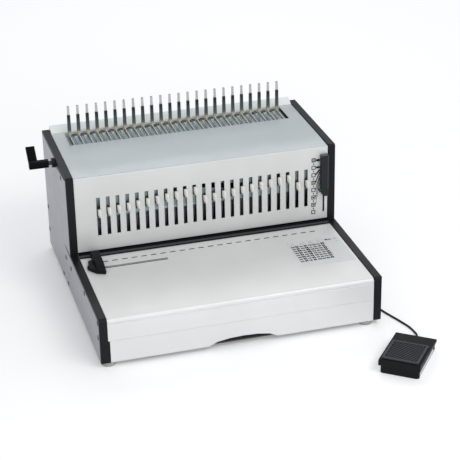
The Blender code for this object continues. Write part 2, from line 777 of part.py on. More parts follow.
def size_slider():
    """The block in front of the panel, tapered below, its pointer and the stem in the panel's slot."""
    low, high = SLIDER_X
    front = PANEL_Y - 8.6
    outline = [
        (low + 3.4, 111.0),
        (high - 0.8, 111.0),
        (high, 120.0),
        (high, 176.0),
        (high - 1.0, 177.0),
        (low + 1.0, 177.0),
        (low, 176.0),
        (low, 122.0),
        (low - 2.4, 120.6),
        (low - 2.4, 118.6),
        (low + 0.6, 118.0),
    ]
    body = plate("size_slider", "xz", [outline], front, PANEL_Y - GAP)
    stem = box("stem", (SLIDER_SLOT_X - 1.1, PANEL_Y - 2, 114.0), (SLIDER_SLOT_X + 1.1, PANEL_Y + 3.0, 142.0))
    finish(join(body, stem), BLACK, (SLIDER_SLOT_X, PANEL_Y, 144.0))


def edge_guide():
    """The paper stop on the table: a low body that widens forward, its pointer, and the stem in the slot."""
    top = BASE_HEIGHT - RECESS
    plan = [
        (-187.4, 151.0),
        (-184.0, 146.0),
        (-183.0, 127.0),
        (-165.0, 125.0),
        (-162.6, 128.0),
        (-163.0, 158.0),
        (-167.0, 172.0),
        (-167.5, 186.0),
        (-178.5, 186.0),
        (-179.0, 172.0),
        (-184.0, 160.0),
    ]
    body = plate("edge_guide", "xy", [plan], top + GAP, top + 15.0)
    slope = plate(
        "slope",
        "yz",
        [[(110.0, top + 5.5), (150.0, top + 9.5), (176.0, top + 15.5), (176.0, top + 30), (110.0, top + 30)]],
        -200.0,
        -150.0,
    )
    body = cut(body, slope)
    stem = box("guide_stem", (-180.0, GUIDE_SLOT_Y - 1.1, top - 4.0), (-170.0, GUIDE_SLOT_Y + 1.1, top + 3.0))
    finish(join(body, stem), BLACK, (-175.0, GUIDE_SLOT_Y, top))


# Pedal, modelled in its own frame


def treadle_top(y):
    """Height of the treadle's upper face at y: it rises towards the front."""
    return TREADLE_REAR + (TREADLE_FRONT - TREADLE_REAR) * (0.5 - y / PEDAL_LENGTH)


def pedal_base():
    """A tray with upright walls and rounded front corners, bored for the hinge pin and the lead."""
    half = PEDAL_WIDTH / 2 - 1.9
    front, rear = -PEDAL_LENGTH / 2 + 1.7, PEDAL_LENGTH / 2 - 0.4
    corner = 4.5
    outline = [(half, rear), (-half, rear)]
    outline += arc((-half + corner, front + corner), corner, 180, 270, 4)
    outline += arc((half - corner, front + corner), corner, 270, 360, 4)
    base = plate("pedal_base", "xy", [outline], 0.0, BASE_TOP)
    hollow = box("hollow", (-half + 2.2, front + 5.0, 1.8), (half - 2.2, rear - 2.0, 30.0))
    bore = cylinder("bore", "x", (-40.0, HINGE_Y, HINGE_Z), 80.0, 1.9, sides=16)
    exit_hole = cylinder("exit_hole", "y", (-4.0, 35.0, 5.5), 20.0, 3.3, sides=16)
    finish(cut(base, hollow, bore, exit_hole), GREY, parent=PEDAL)


def pedal_treadle():
    """The cover over the base, open at the rear, with skirts on three sides and two lugs around the hinge pin."""
    half = PEDAL_WIDTH / 2
    rear = PEDAL_LENGTH / 2
    skirt = 1.5
    side = [
        (-rear, BASE_TOP - 0.6),
        (rear, BASE_TOP - 0.2),
        (rear, TREADLE_REAR),
        (PAD_Y[0] - 1.4, treadle_top(PAD_Y[0] - 1.4)),
        (-rear, TREADLE_FRONT - 1.3),
    ]
    treadle = plate("pedal_treadle", "yz", [side], -half, half)
    under = [
        (-rear + skirt, 4.0),
        (rear + 6.0, 4.0),
        (rear + 6.0, treadle_top(rear + 6.0) - TREADLE_SHEET),
        (-rear + skirt, treadle_top(-rear + skirt) - TREADLE_SHEET),
    ]
    hollow = plate("under", "yz", [under], -half + skirt, half - skirt)
    low, high = HINGE_Y - 3.6, HINGE_Y + 3.6
    lug = [(low, HINGE_Z - 3.6), (high, HINGE_Z - 3.6), (high, 14.4), (low, 14.4)]
    lugs = [plate("lug_left", "yz", [lug], -24.6, -21.6), plate("lug_right", "yz", [lug], 21.6, 24.6)]
    bore = cylinder("bore", "x", (-40.0, HINGE_Y, HINGE_Z), 80.0, 1.9, sides=16)
    finish(cut(join(cut(treadle, hollow), *lugs), bore), BLACK, (0, HINGE_Y, HINGE_Z), PEDAL)


def pedal_pad():
    outline = [
        (PAD_Y[0], treadle_top(PAD_Y[0]) + GAP),
        (PAD_Y[1], treadle_top(PAD_Y[1]) + GAP),
        (PAD_Y[1] - 0.8, treadle_top(PAD_Y[1]) + 2.2),
        (PAD_Y[0] + 0.8, treadle_top(PAD_Y[0]) + 2.2),
    ]
    finish(plate("pedal_pad", "yz", [outline], *PAD_X), RUBBER, (0, HINGE_Y, HINGE_Z), PEDAL)


def pedal_hinge_pin():
    pin = cylinder("pedal_hinge_pin", "x", (-27.9, HINGE_Y, HINGE_Z), 55.8, 1.6, sides=16)
    finish(pin, STEEL, parent=PEDAL)


def smooth(points, count):
    """count points spaced evenly along one smooth curve through the given points."""
    ends = [2 * points[0] - points[1], *points, 2 * points[-1] - points[-2]]
    fine = []
    for before, a, b, after in zip(ends, ends[1:], ends[2:], ends[3:]):
        for step in range(40):
            t = step / 40
            fine.append(
                0.5
                * (
                    2 * a
                    + (b - before) * t
                    + (2 * before - 5 * a + 4 * b - after) * t**2
                    + (3 * a - before - 3 * b + after) * t**3
                )
            )
    fine.append(points[-1])
    lengths = [0.0]
    for a, b in zip(fine, fine[1:]):
        lengths.append(lengths[-1] + (b - a).length)
    spaced = []
    at = 0
    for i in range(count):
        target = lengths[-1] * i / (count - 1)
        while at < len(fine) - 2 and lengths[at + 1] < target:
            at += 1
        span = lengths[at + 1] - lengths[at]
        spaced.append(fine[at].lerp(fine[at + 1], (target - lengths[at]) / span if span else 0.0))
    return spaced


def tube(name, points, radius):
    """A round wire through points in millimetres."""
    curve = bpy.data.curves.new(name, "CURVE")
    curve.dimensions = "3D"
    curve.bevel_depth = radius * MM
    curve.bevel_resolution = 2
    curve.use_fill_caps = True
    spline = curve.splines.new("POLY")
    spline.points.add(len(points) - 1)
    for point, place in zip(spline.points, points):
        point.co = (*(place * MM), 1.0)
    return settle(new_object(name, curve))


def pedal_spring():
    """The coil spring that lifts the treadle, between the base's floor and the treadle."""
    turns = 5
    steps = 60
    bottom = 1.8 + GAP + 0.6
    top = treadle_top(-12.0) - TREADLE_SHEET - 1.1
    points = []
    for i in range(steps + 1):
        part = i / steps
        angle = 2 * math.pi * turns * part
        points.append(
            Vector((5.0 * math.cos(angle), -12.0 + 5.0 * math.sin(angle), bottom + (top - bottom) * part))
        )
    finish(tube("pedal_spring", points, 0.6), STEEL, parent=PEDAL)


def pedal_gland():
    """The tapered strain relief where the lead enters the pedal's rear."""
    collar = cylinder("pedal_gland", "y", (-4.0, 41.0, 5.5), 3.2, 3.0, sides=16)
    taper = cylinder("taper", "y", (-4.0, 43.0, 5.5), 12.0, 4.4, 2.2, 16)
    finish(join(collar, taper), RUBBER, parent=PEDAL)


# Lead


def pedal_to_machine(x, y, z):
    """A point of the pedal's frame in the machine's frame."""
    c, s = math.cos(PEDAL_TURN), math.sin(PEDAL_TURN)
    return Vector((PEDAL_X + c * x - s * y, PEDAL_Y + s * x + c * y, z - FOOT_HEIGHT))


def pedal_cord():
    """The lead from the pedal, along the machine's right side and round its rear corner to the coil."""
    lying = CORD / 2 + 0.15 - FOOT_HEIGHT
    start = pedal_to_machine(-4.0, 55.6, 5.5)
    route = [
        start,
        pedal_to_machine(-4.0, 60.0, 5.0),
        pedal_to_machine(-4.6, 66.0, 3.3),
        Vector((237.4, -43.0, lying + 0.2)),
        Vector((237.6, -34.5, lying)),
        Vector((236.3, -25.0, lying)),
        Vector((232.6, -12.4, lying)),
        Vector((226.2, 6.2, lying)),
        Vector((218.4, 27.5, lying)),
        Vector((213.4, 48.0, lying)),
        Vector((211.6, 74.0, lying)),
        Vector((211.2, 110.0, lying)),
        Vector((212.4, 170.0, lying)),
        Vector((211.4, 240.0, lying)),
        Vector((212.4, 310.0, lying)),
        Vector((212.6, 365.0, lying)),
        Vector((211.0, 394.0, lying)),
        Vector((205.4, 416.0, lying)),
        Vector((195.6, 433.0, lying)),
        Vector((182.5, 442.2, lying)),
    ]
    finish(tube("pedal_cord", smooth(route, 66), CORD / 2), RUBBER)


def cord_coil():
    """The outer shape of the coiled part of the lead, a turned ring."""
    low = 0.15 - FOOT_HEIGHT
    half = CORD + 0.1
    profile = [
        (COIL_RADIUS + half, low + COIL_HEIGHT),
        (COIL_RADIUS + half, low),
        (COIL_RADIUS - half, low),
        (COIL_RADIUS - half, low + COIL_HEIGHT),
    ]
    bm = bmesh.new()
    corners = [bm.verts.new((r * MM, 0, z * MM)) for r, z in profile]
    for a, b in zip(corners, corners[1:] + corners[:1]):
        bm.edges.new((a, b))
    ring = mesh_object("cord_coil", bm)
    screw = ring.modifiers.new("turn", "SCREW")
    screw.steps = 32
    screw.render_steps = 32
    screw.use_merge_vertices = True
    screw.merge_threshold = 1e-5
    ring.location = (COIL_X * MM, COIL_Y * MM, 0.0)
    finish(settle(ring), RUBBER)


def cord_plug():
    """The plug in the machine's rear socket, with its sleeve that ends at the coil."""
    z = PLUG_Z + 7.0
    pin = cylinder("cord_plug", "y", (PLUG_X, DEPTH - 9.0, z), 11.0, 1.75, sides=12)
    body = cylinder("plug_body", "y", (PLUG_X, DEPTH + GAP, z), 12.0, 4.4, sides=16)
    sleeve = cylinder("plug_sleeve", "y", (PLUG_X, DEPTH + 12.0, z), 8.6, 3.4, 2.5, 16)
    finish(join(pin, body, sleeve), RUBBER)


def centre_on_floor():
    """Moves the machine so that everything but the lead is centred on the origin and stands on z = 0."""
    bpy.context.view_layer.update()
    lead = ("pedal_cord", "cord_coil", "cord_plug")
    corners = [
        obj.matrix_world @ vertex.co
        for obj in PARTS.objects
        if obj.type == "MESH" and obj.name not in lead
        for vertex in obj.data.vertices
    ]
    low = [min(corner[i] for corner in corners) for i in range(3)]
    high = [max(corner[i] for corner in corners) for i in range(3)]
    MACHINE.location = (-(low[0] + high[0]) / 2, -(low[1] + high[1]) / 2, -low[2])
    bpy.context.view_layer.update()


clear_scene()
PARTS = new_collection("comb_binding_machine")
MACHINE = bpy.data.objects.new("machine", None)
PARTS.objects.link(MACHINE)
PEDAL = bpy.data.objects.new("pedal", None)
PARTS.objects.link(PEDAL)
PEDAL.parent = MACHINE
PEDAL.location = (PEDAL_X * MM, PEDAL_Y * MM, -FOOT_HEIGHT * MM)
PEDAL.rotation_euler = (0, 0, PEDAL_TURN)

edge_trims()
side_plates()
base_pan()
feet()
work_table()
waste_drawer()
throat_rail()
upper_cover()
rear_cover()
cam_shaft()
punch_beam()
punch_frame()
die_selectors()
drive()
electrics()
finger_rail()
opener_rake()
opener_shaft()
opener_lever()
size_slider()
edge_guide()
pedal_base()
pedal_treadle()
pedal_pad()
pedal_hinge_pin()
pedal_spring()
pedal_gland()
pedal_cord()
cord_coil()
cord_plug()
centre_on_floor()
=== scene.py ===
"""Looks of the comb binding machine and its foot pedal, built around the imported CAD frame.

Lengths in the helpers are millimetres in the machine's own frame: x across with 0 in the middle, y from the
table's front face towards the back, z up from the base's underside. at() turns them into the frame's metres.
"""

import math
import random

import bmesh
import bpy
from mathutils import Matrix, Vector


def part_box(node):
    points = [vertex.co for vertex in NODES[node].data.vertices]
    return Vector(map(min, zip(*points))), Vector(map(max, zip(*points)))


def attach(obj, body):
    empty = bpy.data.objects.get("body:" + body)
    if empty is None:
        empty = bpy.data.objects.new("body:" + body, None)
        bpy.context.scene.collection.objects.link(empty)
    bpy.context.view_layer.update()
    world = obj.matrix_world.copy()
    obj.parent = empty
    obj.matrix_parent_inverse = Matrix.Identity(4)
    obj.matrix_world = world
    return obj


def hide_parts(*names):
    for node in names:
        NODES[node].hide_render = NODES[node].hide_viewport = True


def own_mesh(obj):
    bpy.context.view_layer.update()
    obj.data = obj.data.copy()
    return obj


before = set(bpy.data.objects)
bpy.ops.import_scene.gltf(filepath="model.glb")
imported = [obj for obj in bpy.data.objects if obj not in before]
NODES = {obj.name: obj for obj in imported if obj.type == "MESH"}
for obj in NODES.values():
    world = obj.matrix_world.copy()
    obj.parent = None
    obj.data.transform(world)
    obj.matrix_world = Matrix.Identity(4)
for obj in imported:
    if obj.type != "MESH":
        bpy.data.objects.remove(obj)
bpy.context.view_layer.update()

MM = 0.001
PITCH = 14.2875  # of the holes in a plastic-comb sheet, 9/16 inch
DIES = 23
FINGERS = 24
HALF_WIDTH = 202.5
TRIM_LOW, TRIM_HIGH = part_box("right_edge_trim")
ORIGIN = Vector((TRIM_HIGH.x - HALF_WIDTH * MM, TRIM_LOW.y, TRIM_LOW.z))
FLOOR_Z = -7.0
TABLE_Z = 67.0
TOP_Z = 189.3
PANEL_Y = 200.0
REAR_Y = 389.6
SIDE_X = 202.4  # just inside the side plates' outer faces
COVER_X = 190.9  # where the covers meet the side plates
SHEET = 1.2
FAR = 1000.0

# Openings in the sheets, each (low, high) along its axis
PANEL_SLOT_HALF = 2.7
PANEL_SLOT_Z = (94.4, 154.5)
SLIDER_SLOT_X, SLIDER_SLOT_Z = (183.6, 186.4), (82.0, 144.0)
OPENING_X, OPENING_Y = (-172.0, 170.0), (320.0, 369.5)
GUIDE_SLOT_X, GUIDE_SLOT_Y = (-186.0, -69.0), (149.5, 152.5)
VENT_Z = (90.0, 120.0)
INLET_X, INLET_Z = (-164.4, -135.6), (17.6, 38.4)
SWITCH_X, SWITCH_Z = (-124.4, -109.6), (19.8, 36.2)
SOCKET_X, SOCKET_Z = (147.0, 153.0), (8.0, 14.0)


def at(x, y, z):
    """A point of the machine's frame, in metres."""
    return ORIGIN + Vector((x, y, z)) * MM


def to_frame():
    return Matrix.Translation(ORIGIN) @ Matrix.Scale(MM, 4)


def die_x(index):
    return (index - (DIES - 1) / 2) * PITCH


def finger_x(index):
    return (index - (FINGERS - 1) / 2) * PITCH


# Materials


def set_inputs(node, **values):
    for name, value in values.items():
        node.inputs[name.replace("_", " ")].default_value = value


class Shader:
    """A Principled material with small helpers for its nodes."""

    def __init__(self, name, colour, roughness, metallic=0.0, specular=0.5):
        self.material = bpy.data.materials.new(name)
        self.material.use_nodes = True
        self.material.diffuse_color = (*colour, 1.0)
        self.nodes = self.material.node_tree.nodes
        self.links = self.material.node_tree.links
        self.shader = self.nodes["Principled BSDF"]
        self.colour = colour
        self.roughness = roughness
        set_inputs(self.shader, Base_Color=(*colour, 1.0), Roughness=roughness, Metallic=metallic)
        set_inputs(self.shader, Specular_IOR_Level=specular)

    def node(self, kind, **values):
        made = self.nodes.new(f"ShaderNode{kind}")
        set_inputs(made, **values)
        return made

    def coordinates(self, scale):
        """Object coordinates in millimetres, times scale."""
        source = self.node("TexCoord")
        mapping = self.node("Mapping", Scale=tuple(1000.0 * s for s in scale))
        self.links.new(source.outputs["Object"], mapping.inputs["Vector"])
        return mapping.outputs["Vector"]

    def noise(self, size, detail=3.0, stretch=(1.0, 1.0, 1.0), rough=0.55):
        """Noise whose features are about size millimetres."""
        node = self.node("TexNoise", Scale=1.0 / size, Detail=detail, Roughness=rough)
        self.links.new(self.coordinates(stretch), node.inputs["Vector"])
        return node.outputs["Fac"]

    def spread(self, value, low, high, start=0.3, end=0.7):
        """value from start..end turned into low..high."""
        node = self.node("MapRange", From_Min=start, From_Max=end, To_Min=low, To_Max=high)
        self.links.new(value, node.inputs["Value"])
        return node.outputs["Result"]

    def ramp(self, value, stops):
        node = self.node("ValToRGB")
        elements = node.color_ramp.elements
        while len(elements) < len(stops):
            elements.new(0.5)
        for element, (place, colour) in zip(elements, stops):
            element.position = place
            element.color = (*colour, 1.0)
        self.links.new(value, node.inputs["Fac"])
        return node.outputs["Color"]

    def tint(self, value, dark, light):
        """The base colour, darker to lighter with value."""
        low = tuple(c * dark for c in self.colour)
        high = tuple(min(1.0, c * light) for c in self.colour)
        stops = [(0.3, low), (0.7, high)]
        self.links.new(self.ramp(value, stops), self.shader.inputs["Base Color"])

    def vary_roughness(self, value, amount):
        low, high = self.roughness - amount, self.roughness + amount
        self.links.new(self.spread(value, low, high), self.shader.inputs["Roughness"])

    def bump(self, value, height):
        """value as relief, height in millimetres."""
        node = self.node("Bump", Strength=1.0, Distance=height * MM)
        self.links.new(value, node.inputs["Height"])
        self.links.new(node.outputs["Normal"], self.shader.inputs["Normal"])

    def add(self, a, b, factor=1.0):
        """a + factor * b."""
        node = self.node("Math")
        node.operation = "MULTIPLY_ADD"
        self.links.new(b, node.inputs[0])
        node.inputs[1].default_value = factor
        self.links.new(a, node.inputs[2])
        return node.outputs["Value"]


def powder_paint(name, colour, roughness, metallic=0.0, peel=0.012, specular=0.5):
    """Paint on sheet metal: a fine orange peel, faint clouds in tone and gloss."""
    made = Shader(name, colour, roughness, metallic, specular)
    clouds = made.noise(90.0, 2.0)
    fine = made.noise(0.9, 2.0)
    made.tint(made.add(clouds, fine, 0.12), 0.965, 1.03)
    made.vary_roughness(made.noise(25.0, 3.0), 0.04)
    made.bump(made.add(fine, made.noise(3.0, 1.0), 0.6), peel)
    return made.material


def worked_steel(name, colour, roughness, along, metallic=1.0):
    """Bare or plated metal with fine lines along one axis."""
    made = Shader(name, colour, roughness, metallic)
    stretch = tuple(0.03 if axis == along else 1.0 for axis in "xyz")
    lines = made.noise(0.5, 4.0, stretch)
    patches = made.noise(9.0, 3.0)
    made.tint(made.add(lines, patches, 0.35), 0.86, 1.06)
    made.vary_roughness(lines, 0.07)
    made.bump(lines, 0.004)
    return made.material


def zinc(name, colour, roughness):
    """Passivated zinc: blue to straw clouds over a matt metal."""
    made = Shader(name, colour, roughness, 1.0)
    clouds = made.noise(14.0, 3.0)
    straw = tuple(c * f for c, f in zip(colour, (1.12, 1.04, 0.84)))
    blue = tuple(c * f for c, f in zip(colour, (0.86, 0.98, 1.08)))
    tone = made.ramp(clouds, [(0.32, blue), (0.52, colour), (0.72, straw)])
    made.links.new(tone, made.shader.inputs["Base Color"])
    made.vary_roughness(made.noise(4.0, 3.0), 0.08)
    made.bump(made.noise(0.7, 3.0), 0.01)
    return made.material


def moulded(name, colour, roughness, grain=0.35, depth=0.03, specular=0.5):
    """Spark-textured plastic."""
    made = Shader(name, colour, roughness, 0.0, specular)
    fine = made.noise(grain, 2.0)
    made.tint(made.add(fine, made.noise(20.0, 2.0), 0.6), 0.8, 1.25)
    made.vary_roughness(made.noise(6.0, 3.0), 0.06)
    made.bump(fine, depth)
    return made.material


def frosted_film(name, colour):
    """A printed film, its face speckled like frosted glass."""
    made = Shader(name, colour, 0.5)
    specks = made.noise(1.5, 3.0, rough=0.7)
    made.tint(specks, 0.8, 1.06)
    made.vary_roughness(specks, 0.08)
    made.bump(specks, 0.02)
    return made.material


SILVER = powder_paint("silver_paint", (0.7, 0.705, 0.71), 0.4, 0.2)
# a lighter copy of the silver paint for the table's upward faces: painted light
TABLE_PAINTED_LIGHT = powder_paint("table_painted_light", (0.75, 0.765, 0.745), 0.42, 0.15)
LABEL = frosted_film("label_film", (0.755, 0.775, 0.77))
PANEL = powder_paint("panel_paint", (0.66, 0.67, 0.66), 0.42, 0.2)
# a darker bluish copy of the panel paint for the cover's top: painted reflection
TOP_PAINTED_REFLECTION = powder_paint("top_painted_reflection", (0.455, 0.49, 0.505), 0.36, 0.35)
LIP_PAINT = powder_paint("lip_paint", (0.8, 0.85, 0.835), 0.4, 0.05)
SIDE = powder_paint("side_paint", (0.352, 0.362, 0.4), 0.4, 0.4, 0.016)
BLACK = powder_paint("black_paint", (0.008, 0.0088, 0.0115), 0.36, 0.0, 0.02, specular=0.16)
PLASTIC = moulded("black_plastic", (0.0045, 0.005, 0.006), 0.46, specular=0.13)
LEVER_BLACK = moulded("lever_black", (0.0022, 0.0026, 0.0036), 0.48, specular=0.07)
SLIDER_BLACK = moulded("slider_black", (0.013, 0.0155, 0.0165), 0.42, specular=0.2)
# a lighter copy of the slider's black plastic: painted highlight on its top and its rib
SLIDER_PAINTED_HIGHLIGHT = moulded("slider_painted_highlight", (0.075, 0.085, 0.09), 0.42, specular=0.3)
RAIL_GREY = moulded("rail_grey", (0.035, 0.043, 0.046), 0.45, specular=0.25)
STRAP = moulded("strap_black", (0.02, 0.02, 0.022), 0.8, 0.5, 0.05)
MAT_BLACK = moulded("mat_black", (0.006, 0.0065, 0.007), 0.55, specular=0.12)
RUBBER = moulded("black_rubber", (0.008, 0.008, 0.009), 0.55, 0.8, 0.02, specular=0.2)
PAD_RIM_RUBBER = moulded("pad_rim_rubber", (0.03, 0.033, 0.036), 0.5, 0.6, 0.03, specular=0.3)
PAD_RUBBER = moulded("pad_rubber", (0.028, 0.032, 0.034), 0.5, 0.6, 0.03, specular=0.25)
# a near-black copy of the pad rubber: painted shade between the ribs
PAD_GROOVE_SHADE = moulded("pad_groove_shade", (0.007, 0.0078, 0.0082), 0.6, 0.6, 0.03, specular=0.1)
GREY_METAL = powder_paint("grey_metal", (0.52, 0.52, 0.54), 0.42, 0.3, 0.02)
FOOT_METAL = powder_paint("foot_metal", (0.33, 0.335, 0.3), 0.45, 0.3, 0.02)
STEEL_X = worked_steel("ground_steel", (0.62, 0.62, 0.6), 0.28, "x")
STEEL_Z = worked_steel("drawn_steel", (0.6, 0.6, 0.58), 0.3, "z")
TAB_STEEL = powder_paint("tab_cream", (0.78, 0.765, 0.72), 0.42, 0.0, 0.02)
ZINC = zinc("zinc_plate", (0.2, 0.25, 0.26), 0.4)
FLANGE = powder_paint("flange_paint", (0.66, 0.7, 0.69), 0.42, 0.1)
TONGUE = zinc("tongue_zinc", (0.19, 0.245, 0.255), 0.38)
# a lighter copy of the tongue zinc: painted highlight on the raised lands
TONGUE_LAND_HIGHLIGHT = zinc("tongue_land_highlight", (0.34, 0.4, 0.41), 0.4)
# a near-black copy of the tongue zinc: painted shade on the curled ends
HOOK_PAINTED_SHADE = zinc("hook_zinc_painted_shade", (0.03, 0.038, 0.038), 0.4)
DARK = powder_paint("dark_primer", (0.06, 0.06, 0.065), 0.55, 0.2, 0.03)
PRINT = moulded("print_grey", (0.012, 0.012, 0.014), 0.6, 0.6, 0.003, specular=0.1)
PRINT_LIGHT = moulded("print_light", (0.42, 0.43, 0.44), 0.6, 0.6, 0.003)
SCREW = worked_steel("screw_black", (0.05, 0.05, 0.055), 0.35, "x", 0.8)
# dark steel for the opener's shaft, and painted shade on the selector shanks
DARK_STEEL_AND_GAP_SHADE = worked_steel("dark_steel", (0.05, 0.052, 0.056), 0.4, "x", 0.7)
BOARD = moulded("board_green", (0.02, 0.12, 0.05), 0.4, 2.0, 0.02)


# Geometry


def link(obj):
    bpy.context.scene.collection.objects.link(obj)
    return obj


def mesh_object(name, bm, material):
    mesh = bpy.data.meshes.new(name)
    bm.to_mesh(mesh)
    bm.free()
    mesh.materials.append(material)
    return link(bpy.data.objects.new(name, mesh))


def new_piece(name, bm, material, body="machine", width=0.0, segments=2, smooth_angle=35.0):
    """An object from bmesh data already in the frame's metres, riding on a body, its edges bevelled."""
    bmesh.ops.recalc_face_normals(bm, faces=bm.faces)
    obj = mesh_object(name, bm, material)
    obj.data.shade_smooth()
    obj.data.set_sharp_from_angle(angle=math.radians(smooth_angle))
    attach(obj, body)
    if width:
        bevel(obj, width, segments)
    return obj


def bevel(obj, width, segments=2):
    """Edges sharper than 30 degrees rounded, width in millimetres."""
    modifier = obj.modifiers.new("edges", "BEVEL")
    modifier.width = width * MM
    modifier.segments = segments
    modifier.limit_method = "ANGLE"
    modifier.angle_limit = math.radians(30.0)
    modifier.use_clamp_overlap = True
    modifier.harden_normals = True
    modifier.miter_outer = "MITER_ARC"


def merged(mesh, angle):
    """The mesh without doubled points, its faces joined where they meet within angle degrees."""
    bm = bmesh.new()
    bm.from_mesh(mesh)
    bmesh.ops.remove_doubles(bm, verts=bm.verts, dist=2e-6)
    bmesh.ops.dissolve_limit(bm, angle_limit=math.radians(angle), verts=bm.verts, edges=bm.edges)
    return bm


def dressed(node, material, width, segments=2, body="machine"):
    """A finished copy of a CAD node: coplanar faces joined, its edges rounded."""
    obj = new_piece(f"{node}_finished", merged(NODES[node].data, 0.6), material, body, width, segments)
    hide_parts(node)
    return obj


def repaint(obj, material, chosen):
    """A second material on the faces that chosen picks."""
    obj.data.materials.append(material)
    for face in obj.data.polygons:
        if chosen(face):
            face.material_index = 1


def paint_node(node, material):
    """A new material on a CAD node that stays as it is."""
    for holder in NODES[node].material_slots:
        holder.material = material


def add_box(bm, low, high, transform=None):
    made = bmesh.ops.create_cube(bm, size=1.0)["verts"]
    low, high = Vector(low), Vector(high)
    bmesh.ops.scale(bm, vec=high - low, verts=made)
    bmesh.ops.translate(bm, vec=(low + high) / 2, verts=made)
    bmesh.ops.transform(bm, matrix=transform or to_frame(), verts=made)


PLANES = {
    "xy": lambda u, v, w: (u, v, w),
    "xz": lambda u, v, w: (u, w, v),
    "yz": lambda u, v, w: (w, u, v),
}


def add_prism(bm, points, start, end, plane):
    """A simple outline made thick across its plane."""
    order = PLANES[plane]
    lower = [bm.verts.new(order(u, v, start)) for u, v in points]
    upper = [bm.verts.new(order(u, v, end)) for u, v in points]
    bm.faces.new(lower)
    bm.faces.new(upper[::-1])
    for i in range(len(points)):
        j = (i + 1) % len(points)
        bm.faces.new((lower[i], upper[i], upper[j], lower[j]))
    bmesh.ops.transform(bm, matrix=to_frame(), verts=lower + upper)


AXES = {
    "x": Matrix.Rotation(math.radians(90), 4, "Y"),
    "-x": Matrix.Rotation(math.radians(-90), 4, "Y"),
    "y": Matrix.Rotation(math.radians(-90), 4, "X"),
    "z": Matrix.Identity(4),
}


def close_rings(bm, rings):
    """Faces between rings of as many points, and over both ends."""
    count = len(rings[0])
    for a, b in zip(rings, rings[1:]):
        for i in range(count):
            j = (i + 1) % count
            bm.faces.new((a[i], a[j], b[j], b[i]))
    bm.faces.new(rings[0][::-1])
    bm.faces.new(rings[-1])


def add_turned(bm, profile, centre, axis="z", segments=48, transform=None):
    """A turned shape: profile is (distance along the axis, radius), both ends closed."""
    angles = [2 * math.pi * i / segments for i in range(segments)]
    rings = []
    for along, radius in profile:
        ring = [(radius * math.cos(angle), radius * math.sin(angle), along) for angle in angles]
        rings.append([bm.verts.new(point) for point in ring])
    close_rings(bm, rings)
    verts = [v for ring in rings for v in ring]
    place = Matrix.Translation(Vector(centre)) @ AXES[axis]
    bmesh.ops.transform(bm, matrix=(transform or to_frame()) @ place, verts=verts)


def plate_mesh(name, plane, outlines, start, end):
    """A mesh in the frame's metres from flat outlines, the first outer and the rest holes."""
    curve = bpy.data.curves.new(name, "CURVE")
    curve.dimensions = "2D"
    curve.fill_mode = "BOTH"
    curve.extrude = abs(end - start) / 2
    for outline in outlines:
        spline = curve.splines.new("POLY")
        spline.points.add(len(outline) - 1)
        spline.use_cyclic_u = True
        for point, (u, v) in zip(spline.points, outline):
            point.co = (u, v, 0.0, 1.0)
    obj = link(bpy.data.objects.new(name, curve))
    turn = {
        "xy": Matrix.Identity(4),
        "yz": Matrix(((0, 0, 1, 0), (1, 0, 0, 0), (0, 1, 0, 0), (0, 0, 0, 1))),
        "xz": Matrix(((1, 0, 0, 0), (0, 0, -1, 0), (0, 1, 0, 0), (0, 0, 0, 1))),
    }[plane]
    middle = (start + end) / 2 * (-1 if plane == "xz" else 1)
    bpy.context.view_layer.update()
    mesh = bpy.data.meshes.new_from_object(obj.evaluated_get(bpy.context.evaluated_depsgraph_get()))
    bpy.data.objects.remove(obj)
    mesh.transform(to_frame() @ turn @ Matrix.Translation((0, 0, middle)))
    bm = merged(mesh, 0.5)
    bpy.data.meshes.remove(mesh)
    return bm


def grid_sheet(name, us, profile, holes, material):
    """A bent sheet: us are the lines across, profile the (y, z) lines along its outer face.

    holes are (low x, high x, low y, high y, low z, high z) boxes, with their edges on the lines.
    """
    bm = bmesh.new()
    grid = [[bm.verts.new(at(u, y, z)) for y, z in profile] for u in us]
    for i in range(len(us) - 1):
        for j in range(len(profile) - 1):
            x = (us[i] + us[i + 1]) / 2
            y, z = ((profile[j][k] + profile[j + 1][k]) / 2 for k in (0, 1))
            if any(h[0] < x < h[1] and h[2] < y < h[3] and h[4] < z < h[5] for h in holes):
                continue
            bm.faces.new((grid[i][j], grid[i + 1][j], grid[i + 1][j + 1], grid[i][j + 1]))
    bmesh.ops.delete(bm, geom=[v for v in bm.verts if not v.link_faces], context="VERTS")
    obj = mesh_object(name, bm, material)
    obj.data.shade_smooth()
    solidify = obj.modifiers.new("thickness", "SOLIDIFY")
    solidify.thickness = SHEET * MM
    solidify.offset = -1.0
    solidify.use_even_offset = True
    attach(obj, "machine")
    bevel(obj, 0.2)
    return obj


def arc(centre, radius, first, last, steps):
    angles = [math.radians(first + (last - first) * i / steps) for i in range(steps + 1)]
    return [(centre[0] + radius * math.cos(angle), centre[1] + radius * math.sin(angle)) for angle in angles]


def rounded(low, high, radius, steps):
    """A rectangle with round corners."""
    left, right = low[0] + radius, high[0] - radius
    bottom, top = low[1] + radius, high[1] - radius
    corners = ((right, bottom), (right, top), (left, top), (left, bottom))
    return [point for i, c in enumerate(corners) for point in arc(c, radius, 90 * i - 90, 90 * i, steps)]


# Camera, made first because the lead is checked against its view

CAMERA_LENS = 121.04
CAMERA_PLACE = (-516.73, -1787.92, 1083.04)
CAMERA_AZIMUTH = 15.584
CAMERA_ELEVATION = 26.159
CAMERA_ROLL = -1.145
CAMERA_SHIFT = (0.00099, 0.00526)


